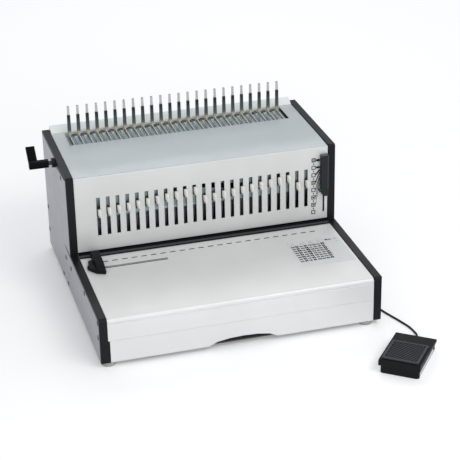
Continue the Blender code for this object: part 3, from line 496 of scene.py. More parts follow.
def make_camera():
    azimuth, elevation = math.radians(CAMERA_AZIMUTH), math.radians(CAMERA_ELEVATION)
    flat = math.cos(elevation)
    forward = Vector((math.sin(azimuth) * flat, math.cos(azimuth) * flat, -math.sin(elevation)))
    right = Vector((math.cos(azimuth), -math.sin(azimuth), 0.0))
    up = right.cross(forward)
    roll = math.radians(CAMERA_ROLL)
    side = right * math.cos(roll) + up * math.sin(roll)
    top = up * math.cos(roll) - right * math.sin(roll)
    data = bpy.data.cameras.new("camera")
    data.lens = CAMERA_LENS
    data.sensor_width = 36.0
    data.shift_x, data.shift_y = CAMERA_SHIFT
    data.clip_start, data.clip_end = 0.1, 20.0
    camera = link(bpy.data.objects.new("camera", data))
    turn = Matrix((side, top, -forward)).transposed().to_4x4()
    camera.matrix_world = Matrix.Translation(at(*CAMERA_PLACE)) @ turn
    bpy.context.scene.camera = camera


make_camera()


# Pedal frame

PEDAL_X = 199.7
PEDAL_Y = -107.7
PEDAL_TURN = math.radians(-37.7)
PEDAL_WIDTH = 58.2
PEDAL_LENGTH = 86.0
TREADLE_FRONT = 20.4
TREADLE_REAR = 16.6
TREADLE_SHEET = 3.2


def pedal_frame():
    """From the pedal's millimetres, y towards its rear and z up from the floor, to the frame's metres."""
    place = Matrix.Translation((PEDAL_X, PEDAL_Y, FLOOR_Z))
    return to_frame() @ place @ Matrix.Rotation(PEDAL_TURN, 4, "Z")


def pedal_to_machine(x, y, z):
    c, s = math.cos(PEDAL_TURN), math.sin(PEDAL_TURN)
    return Vector((PEDAL_X + c * x - s * y, PEDAL_Y + s * x + c * y, z + FLOOR_Z))


# Lead

CORD = 3.0
LYING = CORD / 2 + 0.15 + FLOOR_Z  # the height of its middle where it lies on the floor
COIL_RADIUS = 16.5
COIL_X = 166.5
COIL_Y = 427.0
PLUG_X = COIL_X - COIL_RADIUS
PLUG_Z = 11.0


def smooth(points, count):
    """count points spaced evenly along one smooth curve through the given points."""
    ends = [2 * points[0] - points[1], *points, 2 * points[-1] - points[-2]]
    fine = []
    for before, a, b, after in zip(ends, ends[1:], ends[2:], ends[3:]):
        for step in range(40):
            t = step / 40
            square = (2 * before - 5 * a + 4 * b - after) * t**2
            cube = (3 * a - before - 3 * b + after) * t**3
            fine.append(0.5 * (2 * a + (b - before) * t + square + cube))
    fine.append(points[-1])
    lengths = [0.0]
    for a, b in zip(fine, fine[1:]):
        lengths.append(lengths[-1] + (b - a).length)
    spaced = []
    place = 0
    for i in range(count):
        target = lengths[-1] * i / (count - 1)
        while place < len(fine) - 2 and lengths[place + 1] < target:
            place += 1
        span = lengths[place + 1] - lengths[place]
        part = (target - lengths[place]) / span if span else 0.0
        spaced.append(fine[place].lerp(fine[place + 1], part))
    return spaced


def cord_route():
    """Out of the strain relief, down to the floor, along the machine's right side and round to the coil."""
    floor_run = [
        (237.6, -34.5), (236.3, -25.0), (232.6, -12.4), (226.2, 6.2), (218.4, 27.5), (213.4, 48.0),
        (211.6, 74.0), (211.2, 110.0), (212.4, 170.0), (211.4, 240.0), (212.4, 310.0), (212.6, 365.0),
        (211.0, 394.0), (205.4, 416.0), (195.6, 433.0), (182.5, 442.2), (176.5, 443.9),
    ]
    return [
        pedal_to_machine(-4.0, 55.6, 5.5),
        pedal_to_machine(-4.0, 60.0, 5.0),
        pedal_to_machine(-4.6, 66.0, 3.3),
        Vector((237.4, -43.0, LYING + 0.2)),
        *(Vector((x, y, LYING)) for x, y in floor_run),
    ]


def coil_points():
    """Turns beside and on each other, two rings in each layer, then straight into the plug's sleeve.

    Near its end each turn eases over to the next one's radius and height.
    """
    step = 12.0
    ease = 60.0
    outer, inner = COIL_RADIUS + 1.55, COIL_RADIUS - 1.55
    rings = [outer, inner, inner, outer] * 3
    points = []
    for count in range(round((360.0 * (len(rings) - 1) + 102.0) / step) + 1):
        turn, swept = divmod(count * step, 360.0)
        turn = int(turn)
        radius, layer = rings[turn], turn // 2
        if swept > 360.0 - ease and turn + 1 < len(rings):
            part = (swept - 360.0 + ease) / ease
            part = part * part * (3 - 2 * part)
            radius += (rings[turn + 1] - radius) * part
            layer += ((turn + 1) // 2 - layer) * part
        angle = math.radians(78.0 + count * step)
        x, y = COIL_X + radius * math.cos(angle), COIL_Y + radius * math.sin(angle)
        points.append(Vector((x, y, LYING + (CORD + 0.08) * layer)))
    points += [
        Vector((PLUG_X - 1.25, COIL_Y - 5.5, PLUG_Z - 0.75)),
        Vector((PLUG_X - 0.4, COIL_Y - 11.0, PLUG_Z - 0.3)),
        Vector((PLUG_X, COIL_Y - 17.0, PLUG_Z)),
    ]
    return points


def relax(points, rounds):
    """Takes the corners out of a line of points and keeps its ends."""
    for _ in range(rounds):
        inner = [(a + 2 * b + c) / 4 for a, b, c in zip(points, points[1:], points[2:])]
        points = [points[0], *inner, points[-1]]
    return points


def round_curve(name, diameter, resolution):
    """An empty curve for a round cord or wire."""
    curve = bpy.data.curves.new(name, "CURVE")
    curve.dimensions = "3D"
    curve.bevel_depth = diameter / 2 * MM
    curve.bevel_resolution = resolution
    curve.use_fill_caps = True
    return curve


def make_cord():
    route = smooth(cord_route(), 40)
    coil = relax(coil_points(), 3)
    line = route[:-1] + coil
    curve = round_curve("lead", CORD, 4)
    curve.resolution_u = 4
    spline = curve.splines.new("BEZIER")
    spline.bezier_points.add(len(line) - 1)
    for point, place in zip(spline.bezier_points, line):
        point.co = at(*place)
        point.handle_left_type = point.handle_right_type = "AUTO"
    curve.materials.append(RUBBER)
    cord = link(bpy.data.objects.new("pedal_lead", curve))
    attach(cord, "machine")
    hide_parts("pedal_cord", "cord_coil")
    return cord, sum((b - a).length for a, b in zip(line, line[1:])) * MM


def make_plug():
    """The plug's ribbed sleeve and its pin, in the rear socket."""
    bm = bmesh.new()
    x, y, z = PLUG_X, 390.0, PLUG_Z
    body = [(0.3, 3.6), (0.6, 4.3), (5.0, 4.4), (5.4, 4.0), (6.2, 4.0), (6.6, 4.4), (11.6, 4.3), (12.3, 3.6)]
    body += [(14.0, 3.3), (14.4, 2.9), (15.4, 2.9), (15.8, 3.1), (17.0, 2.9), (17.4, 2.4), (20.6, 2.0)]
    add_turned(bm, body, (x, y, z), "y", 40)
    plug = new_piece("plug_body", bm, RUBBER)
    bm = bmesh.new()
    tip = [(-9.0, 0.8), (-8.6, 1.5), (-7.4, 1.7), (-7.0, 1.3), (-6.6, 1.7), (0.4, 1.75)]
    add_turned(bm, tip, (x, y, z), "y", 24)
    pin = new_piece("plug_pin", bm, STEEL_Z)
    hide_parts("cord_plug")
    return plug, pin


TIE_ANGLE = 340.0
TIE_WIDTH = 4.5


def make_tie():
    """A flat strap round all the turns of the coil at one place."""
    low = FLOOR_Z
    inner = rounded((COIL_RADIUS - 3.2, low + 0.14), (COIL_RADIUS + 3.15, low + 18.75), 1.4, 4)
    outer = rounded((COIL_RADIUS - 3.75, low + 0.02), (COIL_RADIUS + 3.7, low + 19.3), 1.9, 4)
    bm = plate_mesh("tie", "xz", [outer, inner], -TIE_WIDTH / 2, TIE_WIDTH / 2)
    turn = Matrix.Translation((COIL_X, COIL_Y, 0.0)) @ Matrix.Rotation(math.radians(TIE_ANGLE), 4, "Z")
    bm.transform(to_frame() @ turn @ to_frame().inverted())
    return new_piece("lead_tie", bm, STRAP)


cord, cord_length = make_cord()
plug_body, plug_pin = make_plug()
lead_tie = make_tie()


# Floor and light

FLOOR_GLOW = 0.2  # the floor is a lit table, as for a product on white


def make_floor():
    bm = bmesh.new()
    place = Matrix.Translation((0, 0, at(0, 0, FLOOR_Z).z))
    bmesh.ops.create_grid(bm, x_segments=1, y_segments=1, size=6.0, matrix=place)
    look = Shader("floor_white", (0.92, 0.92, 0.92), 0.75, specular=0.1)
    set_inputs(look.shader, Emission_Color=(1.0, 1.0, 1.0, 1.0), Emission_Strength=FLOOR_GLOW)
    mesh_object("floor", bm, look.material)


def area_light(name, place, target, size, power, colour=(1.0, 1.0, 1.0)):
    data = bpy.data.lights.new(name, "AREA")
    data.shape = "RECTANGLE"
    data.size, data.size_y = size
    data.energy = power
    data.color = colour
    light = link(bpy.data.objects.new(name, data))
    light.location = place
    light.rotation_mode = "QUATERNION"
    light.rotation_quaternion = (Vector(target) - Vector(place)).to_track_quat("-Z", "Y")


def make_light():
    """Even studio light: a sky that is bright overhead and greyer low down, and three soft boxes."""
    world = bpy.data.worlds.new("studio")
    bpy.context.scene.world = world
    world.use_nodes = True
    nodes, links = world.node_tree.nodes, world.node_tree.links
    source = nodes.new("ShaderNodeTexCoord")
    split = nodes.new("ShaderNodeSeparateXYZ")
    ramp = nodes.new("ShaderNodeValToRGB")
    low, overhead = ramp.color_ramp.elements
    low.position, low.color = 0.0, (0.3, 0.31, 0.33, 1.0)
    overhead.position, overhead.color = 0.7, (0.95, 0.97, 1.0, 1.0)
    links.new(source.outputs["Generated"], split.inputs["Vector"])
    links.new(split.outputs["Z"], ramp.inputs["Fac"])
    links.new(ramp.outputs["Color"], nodes["Background"].inputs["Color"])
    set_inputs(nodes["Background"], Strength=0.62)
    area_light("key", (0.9, -1.5, 1.9), (0.0, -0.05, 0.1), (1.4, 1.0), 19.0, (1.0, 0.995, 0.98))
    area_light("front", (-0.3, -2.3, 0.75), (0.0, 0.0, 0.1), (1.8, 1.0), 14.0)
    area_light("back", (0.4, 1.7, 1.5), (0.0, 0.1, 0.15), (1.8, 0.8), 9.0, (0.97, 0.98, 1.0))


make_floor()
make_light()
bpy.context.scene.view_settings.view_transform = "Standard"


# Housing


def off_rail_top(face):
    place = (face.center - ORIGIN) / MM
    return place.y < 188.5 or place.y > 194.5 or place.z < TABLE_Z + 1.4


def finish_housing():
    """The CAD nodes of the housing and the drive, with rounded edges or only a new material."""
    dressed("left_edge_trim", BLACK, 0.9, 3)
    dressed("right_edge_trim", BLACK, 0.9, 3)
    dressed("left_side_plate", SIDE, 0.25)
    dressed("right_side_plate", SIDE, 0.25)
    dressed("waste_drawer", SILVER, 0.3, body="drawer")
    rail = dressed("throat_rail", RAIL_GREY, 0.2)
    repaint(rail, MAT_BLACK, off_rail_top)
    dressed("base_pan", DARK, 0.4)
    paint_node("punch_frame", DARK)
    paint_node("motor", DARK)
    paint_node("gearbox", GREY_METAL)
    paint_node("control_board", BOARD)
    paint_node("cam_shaft", STEEL_X)
    dressed("power_inlet", PLASTIC, 0.4)
    dressed("power_switch", PLASTIC, 0.5, body="rocker")
    dressed("punch_beam", ZINC, 0.2, body="beam")


def make_cover():
    """The upper cover in one paint, its upward faces in a darker bluish copy of it as painted reflection:
    the panel below the fold and the top above it.
    """
    slots = [(die_x(i) - PANEL_SLOT_HALF, die_x(i) + PANEL_SLOT_HALF) for i in range(DIES)]
    holes = [(*slot, -FAR, FAR, *PANEL_SLOT_Z) for slot in slots]
    holes.append((*SLIDER_SLOT_X, -FAR, FAR, *SLIDER_SLOT_Z))
    holes.append((*OPENING_X, *OPENING_Y, -FAR, FAR))
    edges = {-COVER_X, COVER_X, *SLIDER_SLOT_X, *OPENING_X}.union(*slots)
    profile = [(PANEL_Y, z) for z in sorted((71.3, *PANEL_SLOT_Z, *SLIDER_SLOT_Z))]
    profile += arc((PANEL_Y + 1.5, TOP_Z - 2.5), 1.5, 180, 90, 6)
    profile += [(y, TOP_Z) for y in (240.0, *OPENING_Y, 373.0)]
    cover = grid_sheet("cover_sheet", sorted(edges), profile, holes, PANEL)
    # upward faces take the darker bluish copy of the panel paint: painted reflection
    repaint(cover, TOP_PAINTED_REFLECTION, lambda face: face.normal.z > 0.75)
    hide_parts("upper_cover")


def make_table():
    """The table and its apron: a groove under the rolled front edge, and the paper stop's slot; the table's
    upward faces are a lighter copy of the apron's paint as painted light.
    """
    holes = [(*GUIDE_SLOT_X, *GUIDE_SLOT_Y, -FAR, FAR)]
    profile = [(0.6, 33.25), (0.6, 48.0), (0.6, 58.4), (1.7, 59.0), (1.7, 60.0), (0.6, 60.7)]
    profile += arc((6.6, TABLE_Z - 6.0), 6.0, 180, 90, 12)
    profile += [(y, TABLE_Z) for y in (60.0, *GUIDE_SLOT_Y, 205.6)]
    table = grid_sheet("table_sheet", [-COVER_X, *GUIDE_SLOT_X, COVER_X], profile, holes, SILVER)
    # upward faces of the table take the lighter copy of the silver paint: painted light
    repaint(table, TABLE_PAINTED_LIGHT, lambda face: face.normal.z > 0.6)
    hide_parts("work_table")


def make_rear():
    """The rear cover's lip behind the fingers, its back with vents and connectors, and the lead's socket."""
    fold = [(373.5, 189.5), (388.9, 196.8), (389.5, 196.9), (389.7, 196.2), (389.7, 185.6)]
    grid_sheet("rear_lip", [-COVER_X, COVER_X], fold, [], LIP_PAINT)
    vents = [(60.0 + 8 * i, 63.0 + 8 * i) for i in range(8)]
    openings = [(vent, VENT_Z) for vent in vents]
    openings += [(INLET_X, INLET_Z), (SWITCH_X, SWITCH_Z), (SOCKET_X, SOCKET_Z)]
    holes = [(*across, -FAR, FAR, *up) for across, up in openings]
    edges = {-200.2, 200.2}.union(*(across for across, up in openings))
    levels = sorted((185.5, 2.3, *VENT_Z, *INLET_Z, *SWITCH_Z, *SOCKET_Z), reverse=True)
    back = grid_sheet("rear_sheet", sorted(edges), [(REAR_Y, z) for z in levels], holes, SIDE)
    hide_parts("rear_cover")
    bm = bmesh.new()
    collar = [(0.0, 5.2), (0.3, 5.4), (0.5, 5.2), (0.5, 2.4), (-5.0, 2.2)]
    add_turned(bm, collar, (sum(SOCKET_X) / 2, REAR_Y, sum(SOCKET_Z) / 2), "y", 32)
    new_piece("lead_socket", bm, PLASTIC)


def make_black_edges():
    """The web from the lever's boss forward under the left trim, and a pointed lip on each side plate."""
    web = [(287.5, 178.5), (284.0, 176.3), (278.0, 175.8), (262.0, 179.2), (235.0, 182.6), (205.0, 185.4)]
    web += [(203.5, 187.0), (288.0, 187.0)]
    lip = [(1.0, 63.2), (200.0, 63.2), (234.0, 64.4), (242.0, 66.6), (200.0, 67.8), (1.0, 67.8)]
    for name, outline, start, end, width in (
        ("lever_boss_web", web, -203.3, -202.45, 0.3),
        ("side_lip_left", lip, -SIDE_X, -SIDE_X - 0.4, 0.15),
        ("side_lip_right", lip, SIDE_X, SIDE_X + 0.4, 0.15),
    ):
        bm = bmesh.new()
        add_prism(bm, outline, start, end, "yz")
        new_piece(name, bm, BLACK, width=width)


finish_housing()
make_black_edges()
make_cover()
make_table()
make_rear()


# Feet and screws


def make_feet():
    profile = [(-7.0, 8.9), (-6.7, 9.5), (-5.4, 9.7), (-5.2, 10.1), (-1.4, 10.4), (-0.7, 10.2), (-0.3, 9.5)]
    for side, x in (("left", -190.5), ("right", 182.6)):
        for end, y in (("front", 11.0), ("rear", 340.0)):
            bm = bmesh.new()
            add_turned(bm, profile, (x, y, 0.0))
            foot = new_piece(f"levelling_foot_{end}_{side}", bm, FOOT_METAL)
            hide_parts(f"foot_{end}_{side}")


def add_screw(bm, centre, axis, radius):
    """A low pan head with a raised cross, its top towards the axis."""
    profile = [(0.0, radius), (0.35, radius * 0.98), (0.7, radius * 0.8), (0.9, radius * 0.45), (0.9, 0.01)]
    place = to_frame() @ Matrix.Translation(Vector(centre)) @ AXES[axis]
    add_turned(bm, profile, (0, 0, 0), "z", 24, place)
    arm = radius * 0.55
    for quarter in (0, 90):
        turned = place @ Matrix.Rotation(math.radians(quarter + 20), 4, "Z")
        add_box(bm, (-arm, -0.3, 0.7), (arm, 0.3, 0.95), turned)


SIDE_SCREWS = (  # (y, z)
    (383.0, 66.0), (383.0, 28.0), (240.5, 46.5), (201.0, 47.0), (270.5, 5.0),
    (235.5, 5.0), (9.0, 59.0), (11.0, 35.5), (100.0, 58.0), (238.0, 176.0),
)


def make_screws():
    for name, side, axis in (("left", -1, "-x"), ("right", 1, "x")):
        bm = bmesh.new()
        for y, z in SIDE_SCREWS:
            add_screw(bm, (side * SIDE_X, y, z), axis, 4.0)
        new_piece(f"side_screws_{name}", bm, SCREW)
    bm = bmesh.new()
    for x in (-192.0, -70.0, 70.0, 192.0):
        for z in (8.0, 176.0):
            add_screw(bm, (x, REAR_Y, z), "y", 2.8)
    new_piece("rear_screws", bm, SCREW)


make_feet()
make_screws()


# Die selectors

TAB_GROUPS = (11, 10, 2)  # each group of tabs rises to the right from the same height
TAB_Z = 129.7
TAB_RISE = 1.53
HEAD_RIGHT = 3.6
HEAD_DEPTH = 6.6
SHANK = (  # (y, height), from the head back through the slot to the catch behind it
    (197.8, -3.6), (211.6, -3.6), (211.6, -8.6), (213.2, -8.6),
    (213.2, 8.6), (211.6, 8.6), (211.6, 7.0), (197.8, 7.0),
)


def tab_z(index):
    for size in TAB_GROUPS:
        if index < size:
            break
        index -= size
    return TAB_Z + index * TAB_RISE


def tab_head(x, front, z):
    """The rounded grip, flatter towards both ends, with its lower left corner cut away.

    section is (across, share of the depth), levels (height, share of the depth).
    """
    section = [(-1.4, 0.0), (-1.35, 0.25), (-0.85, 0.62), (0.1, 0.9), (1.0, 1.0), (2.4, 1.0), (3.2, 0.85)]
    section += [(HEAD_RIGHT, 0.5), (HEAD_RIGHT, 0.0)]
    levels = [(-7.0, 0.3), (-6.85, 0.45), (-6.3, 0.68), (-5.2, 0.88), (-3.8, 0.98), (-2.2, 1.0)]
    levels += [(-height, deep) for height, deep in reversed(levels)]
    bm = bmesh.new()
    rings = []
    for height, deep in levels:
        wide = 1.0 - 0.11 * max(0.0, -height - 2.0)
        ring = []
        for across, out in section:
            place_x = x + HEAD_RIGHT - (HEAD_RIGHT - across) * wide
            place_y = front + HEAD_DEPTH - HEAD_DEPTH * out * deep
            ring.append(bm.verts.new(at(place_x, place_y, z + height)))
        rings.append(ring)
    close_rings(bm, rings)
    return bm


def make_selectors():
    """Cream pull tabs: a shank through the slot with a catch behind, dark as painted shade of the gap beside
    the head, and a wider rounded head in front.
    """
    front = PANEL_Y - 8.0
    for i in range(DIES):
        x, z = die_x(i), tab_z(i)
        body = f"selector_{i + 1:02d}"
        bm = bmesh.new()
        add_prism(bm, [(y, z + height) for y, height in SHANK], x - 1.3, x + 1.45, "yz")
        # the shank is dark so the slot beside the head reads black: painted shade
        tab = new_piece(f"pull_tab_{i + 1:02d}", bm, DARK_STEEL_AND_GAP_SHADE, body, 0.3)
        head = tab_head(x, front, z)
        new_piece(f"tab_head_{i + 1:02d}", head, TAB_STEEL, body, smooth_angle=60.0)
        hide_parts(f"die_{body}")


make_selectors()


# Comb opener

FINGER_HALF = (  # (half width, height)
    (0.95, 172.0), (0.95, 186.6), (2.75, 191.4), (2.62, 203.0), (2.4, 219.4),
    (2.0, 221.0), (1.85, 222.0), (1.7, 233.4), (1.35, 234.3), (0.5, 234.5),
)


def make_fingers():
    """The rail, its dividers, and the fingers with a shoulder below each narrower tip."""
    rail = bmesh.new()
    add_box(rail, (-170.5, 318.0, 171.0), (170.5, 366.6, 173.5))
    for low, high in ((-190.7, -169.0), (169.0, 190.7)):
        add_box(rail, (low, 330.0, 171.2), (high, 360.0, 173.2))
    base = new_piece("finger_rail_base", rail, DARK, width=0.2)
    dividers = bmesh.new()
    profile = [(321.0, 173.0), (365.0, 173.0), (365.0, 187.2), (325.0, 187.2), (321.0, 184.6)]
    for i in range(FINGERS):
        add_prism(dividers, profile, finger_x(i) - 0.55, finger_x(i) + 0.55, "yz")
    new_piece("finger_dividers", dividers, BRASSY, width=0.3)
    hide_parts("finger_rail")
    for i in range(FINGERS):
        x = finger_x(i)
        bm = bmesh.new()
        outline = [(x + w, z) for w, z in FINGER_HALF] + [(x - w, z) for w, z in reversed(FINGER_HALF)]
        add_prism(bm, outline, 363.7, 366.1, "xz")
        new_piece(f"finger_{i + 1:02d}", bm, FINGER, width=0.3)


def finger_steel_painted_reflections():
    """Coated flat steel coloured by height as painted reflections: a straw-tinted foot, a slate body
    darkening upwards into a black band of painted dark reflection, and a light grey tip of painted
    reflection of the light overhead.
    """
    made = Shader("finger_steel_painted_reflections", (0.5, 0.5, 0.49), 0.36, 0.35)
    source = made.node("TexCoord")
    split = made.node("SeparateXYZ")
    made.links.new(source.outputs["Object"], split.inputs["Vector"])
    low, high = at(0, 0, 186.0).z, at(0, 0, 235.0).z
    height = made.spread(split.outputs["Z"], 0.0, 1.0, low, high)
    wavy = made.add(height, made.noise(2.2, 3.0), 0.03)
    # colours by height: the darkening body and black band are painted dark reflection, the light tip painted
    # reflection of the light overhead
    stops = [
        (0.0, (0.7, 0.62, 0.48)),
        (0.13, (0.62, 0.53, 0.38)),
        (0.19, (0.2, 0.18, 0.13)),
        (0.27, (0.1, 0.125, 0.12)),
        (0.5, (0.062, 0.085, 0.085)),
        (0.62, (0.02, 0.03, 0.031)),
        (0.71, (0.006, 0.01, 0.011)),
        (0.735, (0.6, 0.585, 0.58)),
        (0.97, (0.62, 0.6, 0.6)),
        (1.0, (0.36, 0.34, 0.34)),
    ]
    made.links.new(made.ramp(wavy, stops), made.shader.inputs["Base Color"])
    lines = made.noise(0.4, 3.0, (1.0, 1.0, 0.04))
    made.vary_roughness(lines, 0.06)
    made.bump(lines, 0.004)
    return made.material


# the fingers' colour bands by height are painted reflections
FINGER = finger_steel_painted_reflections()
BRASSY = worked_steel("passivated_steel", (0.8, 0.73, 0.68), 0.45, "y", 0.1)
make_fingers()


RAKE_TOP = 185.0
TONGUE_TIP = 369.0


def make_rake():
    """The rake with wings, a raised land on each tongue in a lighter copy of its zinc as painted highlight,
    a curled end in a near-black copy as painted shade, and the flange behind.
    """
    dressed("opener_rake", TONGUE, 0.25, body="rake")
    lands, curls, wings = bmesh.new(), bmesh.new(), bmesh.new()
    for i in range(DIES):
        x = die_x(i)
        low, high = RAKE_TOP - 0.1, RAKE_TOP + 0.9
        section = [(x - 1.9, low), (x + 4.3, low), (x + 3.7, high), (x - 0.7, high)]
        add_prism(lands, section, 317.0, 363.5, "xz")
        rim = [
            (x + reach * math.cos(math.radians(a)), RAKE_TOP + 0.3 + rise * math.sin(math.radians(a)))
            for reach, rise, turn in ((4.1, 2.5, range(180, -1, -15)), (3.2, 1.4, range(0, 181, 15)))
            for a in turn
        ]
        add_prism(curls, rim, TONGUE_TIP - 2.4, TONGUE_TIP - 1.3, "xz")
        for left in (x - 6.0, x + 4.5):
            add_box(wings, (left, 317.2, 184.2), (left + 1.5, 363.4, RAKE_TOP))
    new_piece("rake_wings", wings, TONGUE, "rake", 0.2)
    # lands in the lighter zinc are a painted highlight; curls in the near-black zinc are painted shade
    new_piece("rake_lands", lands, TONGUE_LAND_HIGHLIGHT, "rake", 0.3)
    new_piece("rake_curls", curls, HOOK_PAINTED_SHADE, "rake", 0.3)
    bm = bmesh.new()
    add_box(bm, (-171.6, 369.5, 173.7), (169.8, 370.4, 188.0))
    new_piece("opening_flange", bm, FLANGE, width=0.2)


make_rake()
dressed("opener_shaft", DARK_STEEL_AND_GAP_SHADE, 0.3, body="opener")
dressed("opener_lever", LEVER_BLACK, 0.9, 3, body="opener")


# Slider and paper stop


def make_slider():
    """The slider with painted highlights: its upward faces and a fine rib down its right side in a lighter
    copy of its plastic.
    """
    slider = dressed("size_slider", SLIDER_BLACK, 0.7, 3, body="slider")
    # upward faces in the lighter plastic: painted highlight
    repaint(slider, SLIDER_PAINTED_HIGHLIGHT, lambda face: face.normal.z > 0.5)
    right = (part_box("size_slider")[1] - ORIGIN).x / MM
    bm = bmesh.new()
    # the rib's light plastic is a painted highlight down the right side
    add_box(bm, (right - 1.9, 191.25, 123.0), (right - 1.3, 191.9, 175.0))
    new_piece("slider_highlight_rib", bm, SLIDER_PAINTED_HIGHLIGHT, "slider", 0.15)


def make_paper_stop():
    """The paper stop: a low base with its pointer, the narrower block behind, and the stem in the slot."""
    plan = [(-187.2, 152.5), (-184.6, 145.0), (-176.0, 133.5), (-166.0, 129.8), (-163.4, 131.4)]
    plan += [(-162.8, 150.0), (-163.2, 170.0), (-176.0, 171.5), (-182.6, 169.0), (-184.2, 157.5)]
    block = [(134.0, 70.0), (138.0, 74.2), (150.0, 77.2), (185.8, 79.2), (185.8, 67.4), (134.0, 67.4)]
    bm = bmesh.new()
    add_prism(bm, plan, 67.3, 72.0, "xy")
    add_prism(bm, block, -175.6, -163.4, "yz")
    add_box(bm, (-180.0, 149.9, 63.0), (-170.0, 152.1, 67.6))
    stop = new_piece("paper_stop", bm, PLASTIC, "guide", 0.8, 3)
    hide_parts("edge_guide")


make_slider()
make_paper_stop()


# Pedal

PAD_X = (-26.2, 25.2)
PAD_Y = (-37.8, 16.8)
PAD_RIM = 3.6
PAD_SLOPE = math.atan2(TREADLE_REAR - TREADLE_FRONT, PEDAL_LENGTH)
RIB_SLANT = 2.2
RIB_STEP = 4.2
RIB_HALF = 1.3
SPRING_Y = -12.0


def treadle_top(y):
    """The height of the treadle's upper face."""
    return TREADLE_REAR + (TREADLE_FRONT - TREADLE_REAR) * (0.5 - y / PEDAL_LENGTH)


def clipped(offset, low, high):
    """The part of the line v = RIB_SLANT * u + offset that lies in a rectangle, or None."""
    u0 = max(low[0], (low[1] - offset) / RIB_SLANT)
    u1 = min(high[0], (high[1] - offset) / RIB_SLANT)
    if u1 - u0 < 0.5:
        return None
    return (u0, RIB_SLANT * u0 + offset), (u1, RIB_SLANT * u1 + offset)


def make_pad():
    """The rubber pad: a raised rim round a field of fine slanting ribs, the field under them near-black as
    painted shade.
    """
    seat = treadle_top(PAD_Y[0]) + 0.3
    place = pedal_frame() @ Matrix.Translation((0, PAD_Y[0], seat)) @ Matrix.Rotation(PAD_SLOPE, 4, "X")
    long = PAD_Y[1] - PAD_Y[0]
    outer = rounded((PAD_X[0], 0.0), (PAD_X[1], long), 1.4, 3)
    low = (PAD_X[0] + PAD_RIM, PAD_RIM)
    high = (PAD_X[1] - PAD_RIM, long - PAD_RIM)
    field = rounded(low, high, 0.8, 2)
    bm = plate_mesh("pad_rim", "xy", [outer, field], 0.0, 1.9)
    bm.transform(place @ to_frame().inverted())
    rim = new_piece("pad_rim", bm, PAD_RIM_RUBBER, "treadle", 0.5)
    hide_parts("pedal_pad")
    bm = bmesh.new()
    # the field under the ribs is near-black: painted shade in the grooves
    add_box(bm, (low[0] - 0.2, low[1] - 0.2, 0.02), (high[0] + 0.2, high[1] + 0.2, 0.8), place)
    new_piece("pad_field", bm, PAD_GROOVE_SHADE, "treadle")
    bm = bmesh.new()
    step = RIB_STEP * math.hypot(1.0, RIB_SLANT)
    reach = int((high[1] + RIB_SLANT * (high[0] - low[0])) / step) + 2
    angle = math.atan(RIB_SLANT)
    for i in range(-reach, reach):
        line = clipped(i * step, (low[0] + 0.4, low[1] + 0.4), (high[0] - 0.4, high[1] - 0.4))
        if line is None:
            continue
        (u0, v0), (u1, v1) = line
        half = math.hypot(u1 - u0, v1 - v0) / 2
        middle = Matrix.Translation(((u0 + u1) / 2, (v0 + v1) / 2, 0.0))
        turned = place @ middle @ Matrix.Rotation(angle, 4, "Z")
        points = [(-half, -RIB_HALF), (half, -RIB_HALF), (half, RIB_HALF), (-half, RIB_HALF)]
        base = [bm.verts.new((*point, 0.75)) for point in points]
        crest = [bm.verts.new((u, v * 0.5, 1.6)) for u, v in points]
        close_rings(bm, [base, crest])
        bmesh.ops.transform(bm, matrix=turned, verts=base + crest)
    new_piece("pad_ribs", bm, PAD_RUBBER, "treadle")


def make_pedal_base():
    """The base: bare grey walls, a black front, and dark plugs over the hinge pin's ends."""
    base = dressed("pedal_base", GREY_METAL, 0.35)
    back = pedal_frame().inverted()
    repaint(base, PLASTIC, lambda face: (back @ face.center).y < 6.8 - PEDAL_LENGTH / 2)
    bm = bmesh.new()
    profile = [(0.0, 3.6), (0.35, 3.6), (0.6, 3.3), (0.6, 1.9), (0.25, 1.7)]
    for side, axis in ((-1, "-x"), (1, "x")):
        centre = (side * (PEDAL_WIDTH / 2 - 1.9), 36.6, 6.6)
        add_turned(bm, profile, centre, axis, 28, pedal_frame())
    new_piece("hinge_plugs", bm, PLASTIC)


def make_spring():
    """The treadle's coil spring, closed at both ends."""
    wire, radius, turns, closed = 1.1, 5.0, 6.4, 0.75
    low, high = 2.65, treadle_top(SPRING_Y) - TREADLE_SHEET - 1.1
    curve = round_curve("spring", wire, 3)
    count = 180
    spline = curve.splines.new("POLY")
    spline.points.add(count)
    place = pedal_frame()
    for i, point in enumerate(spline.points):
        turn = turns * i / count
        rise = min(max((turn - closed) / (turns - 2 * closed), 0.0), 1.0)
        angle = 2 * math.pi * turn
        across, along = radius * math.cos(angle), SPRING_Y + radius * math.sin(angle)
        point.co = (*(place @ Vector((across, along, low + (high - low) * rise))), 1.0)
    made = bpy.data.objects.new("spring", curve)
    bm = bmesh.new()
    bm.from_mesh(bpy.data.meshes.new_from_object(made))
    bpy.data.objects.remove(made)
    spring = new_piece("treadle_spring", bm, STEEL_X, smooth_angle=60.0)
    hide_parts("pedal_spring")
    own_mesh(spring)


make_pedal_base()
make_spring()
dressed("pedal_treadle", PLASTIC, 0.7, 3, body="treadle")
make_pad()
dressed("pedal_gland", RUBBER, 0.3)
paint_node("pedal_hinge_pin", STEEL_X)


# Print

CHART_X = (109.5, 161.0)
CHART_Y = (78.5, 131.0)
CHART_ROWS = 8
CHART_COLUMNS = 8
CHART_COLUMN = 6.5
BOLD_COLUMNS = (1, 3, 7)
LABEL_X = (107.5, 187.5)
LABEL_Y = (62.5, 143.5)
SCALE_X = 169.0
SCALE_TOP = 168.0
SCALE_STEP = 12.1


def mark(bm, x0, y0, x1, y1):
    """A printed mark on the table."""
    add_box(bm, (x0, y0, TABLE_Z - 0.02), (x1, y1, TABLE_Z + 0.14))


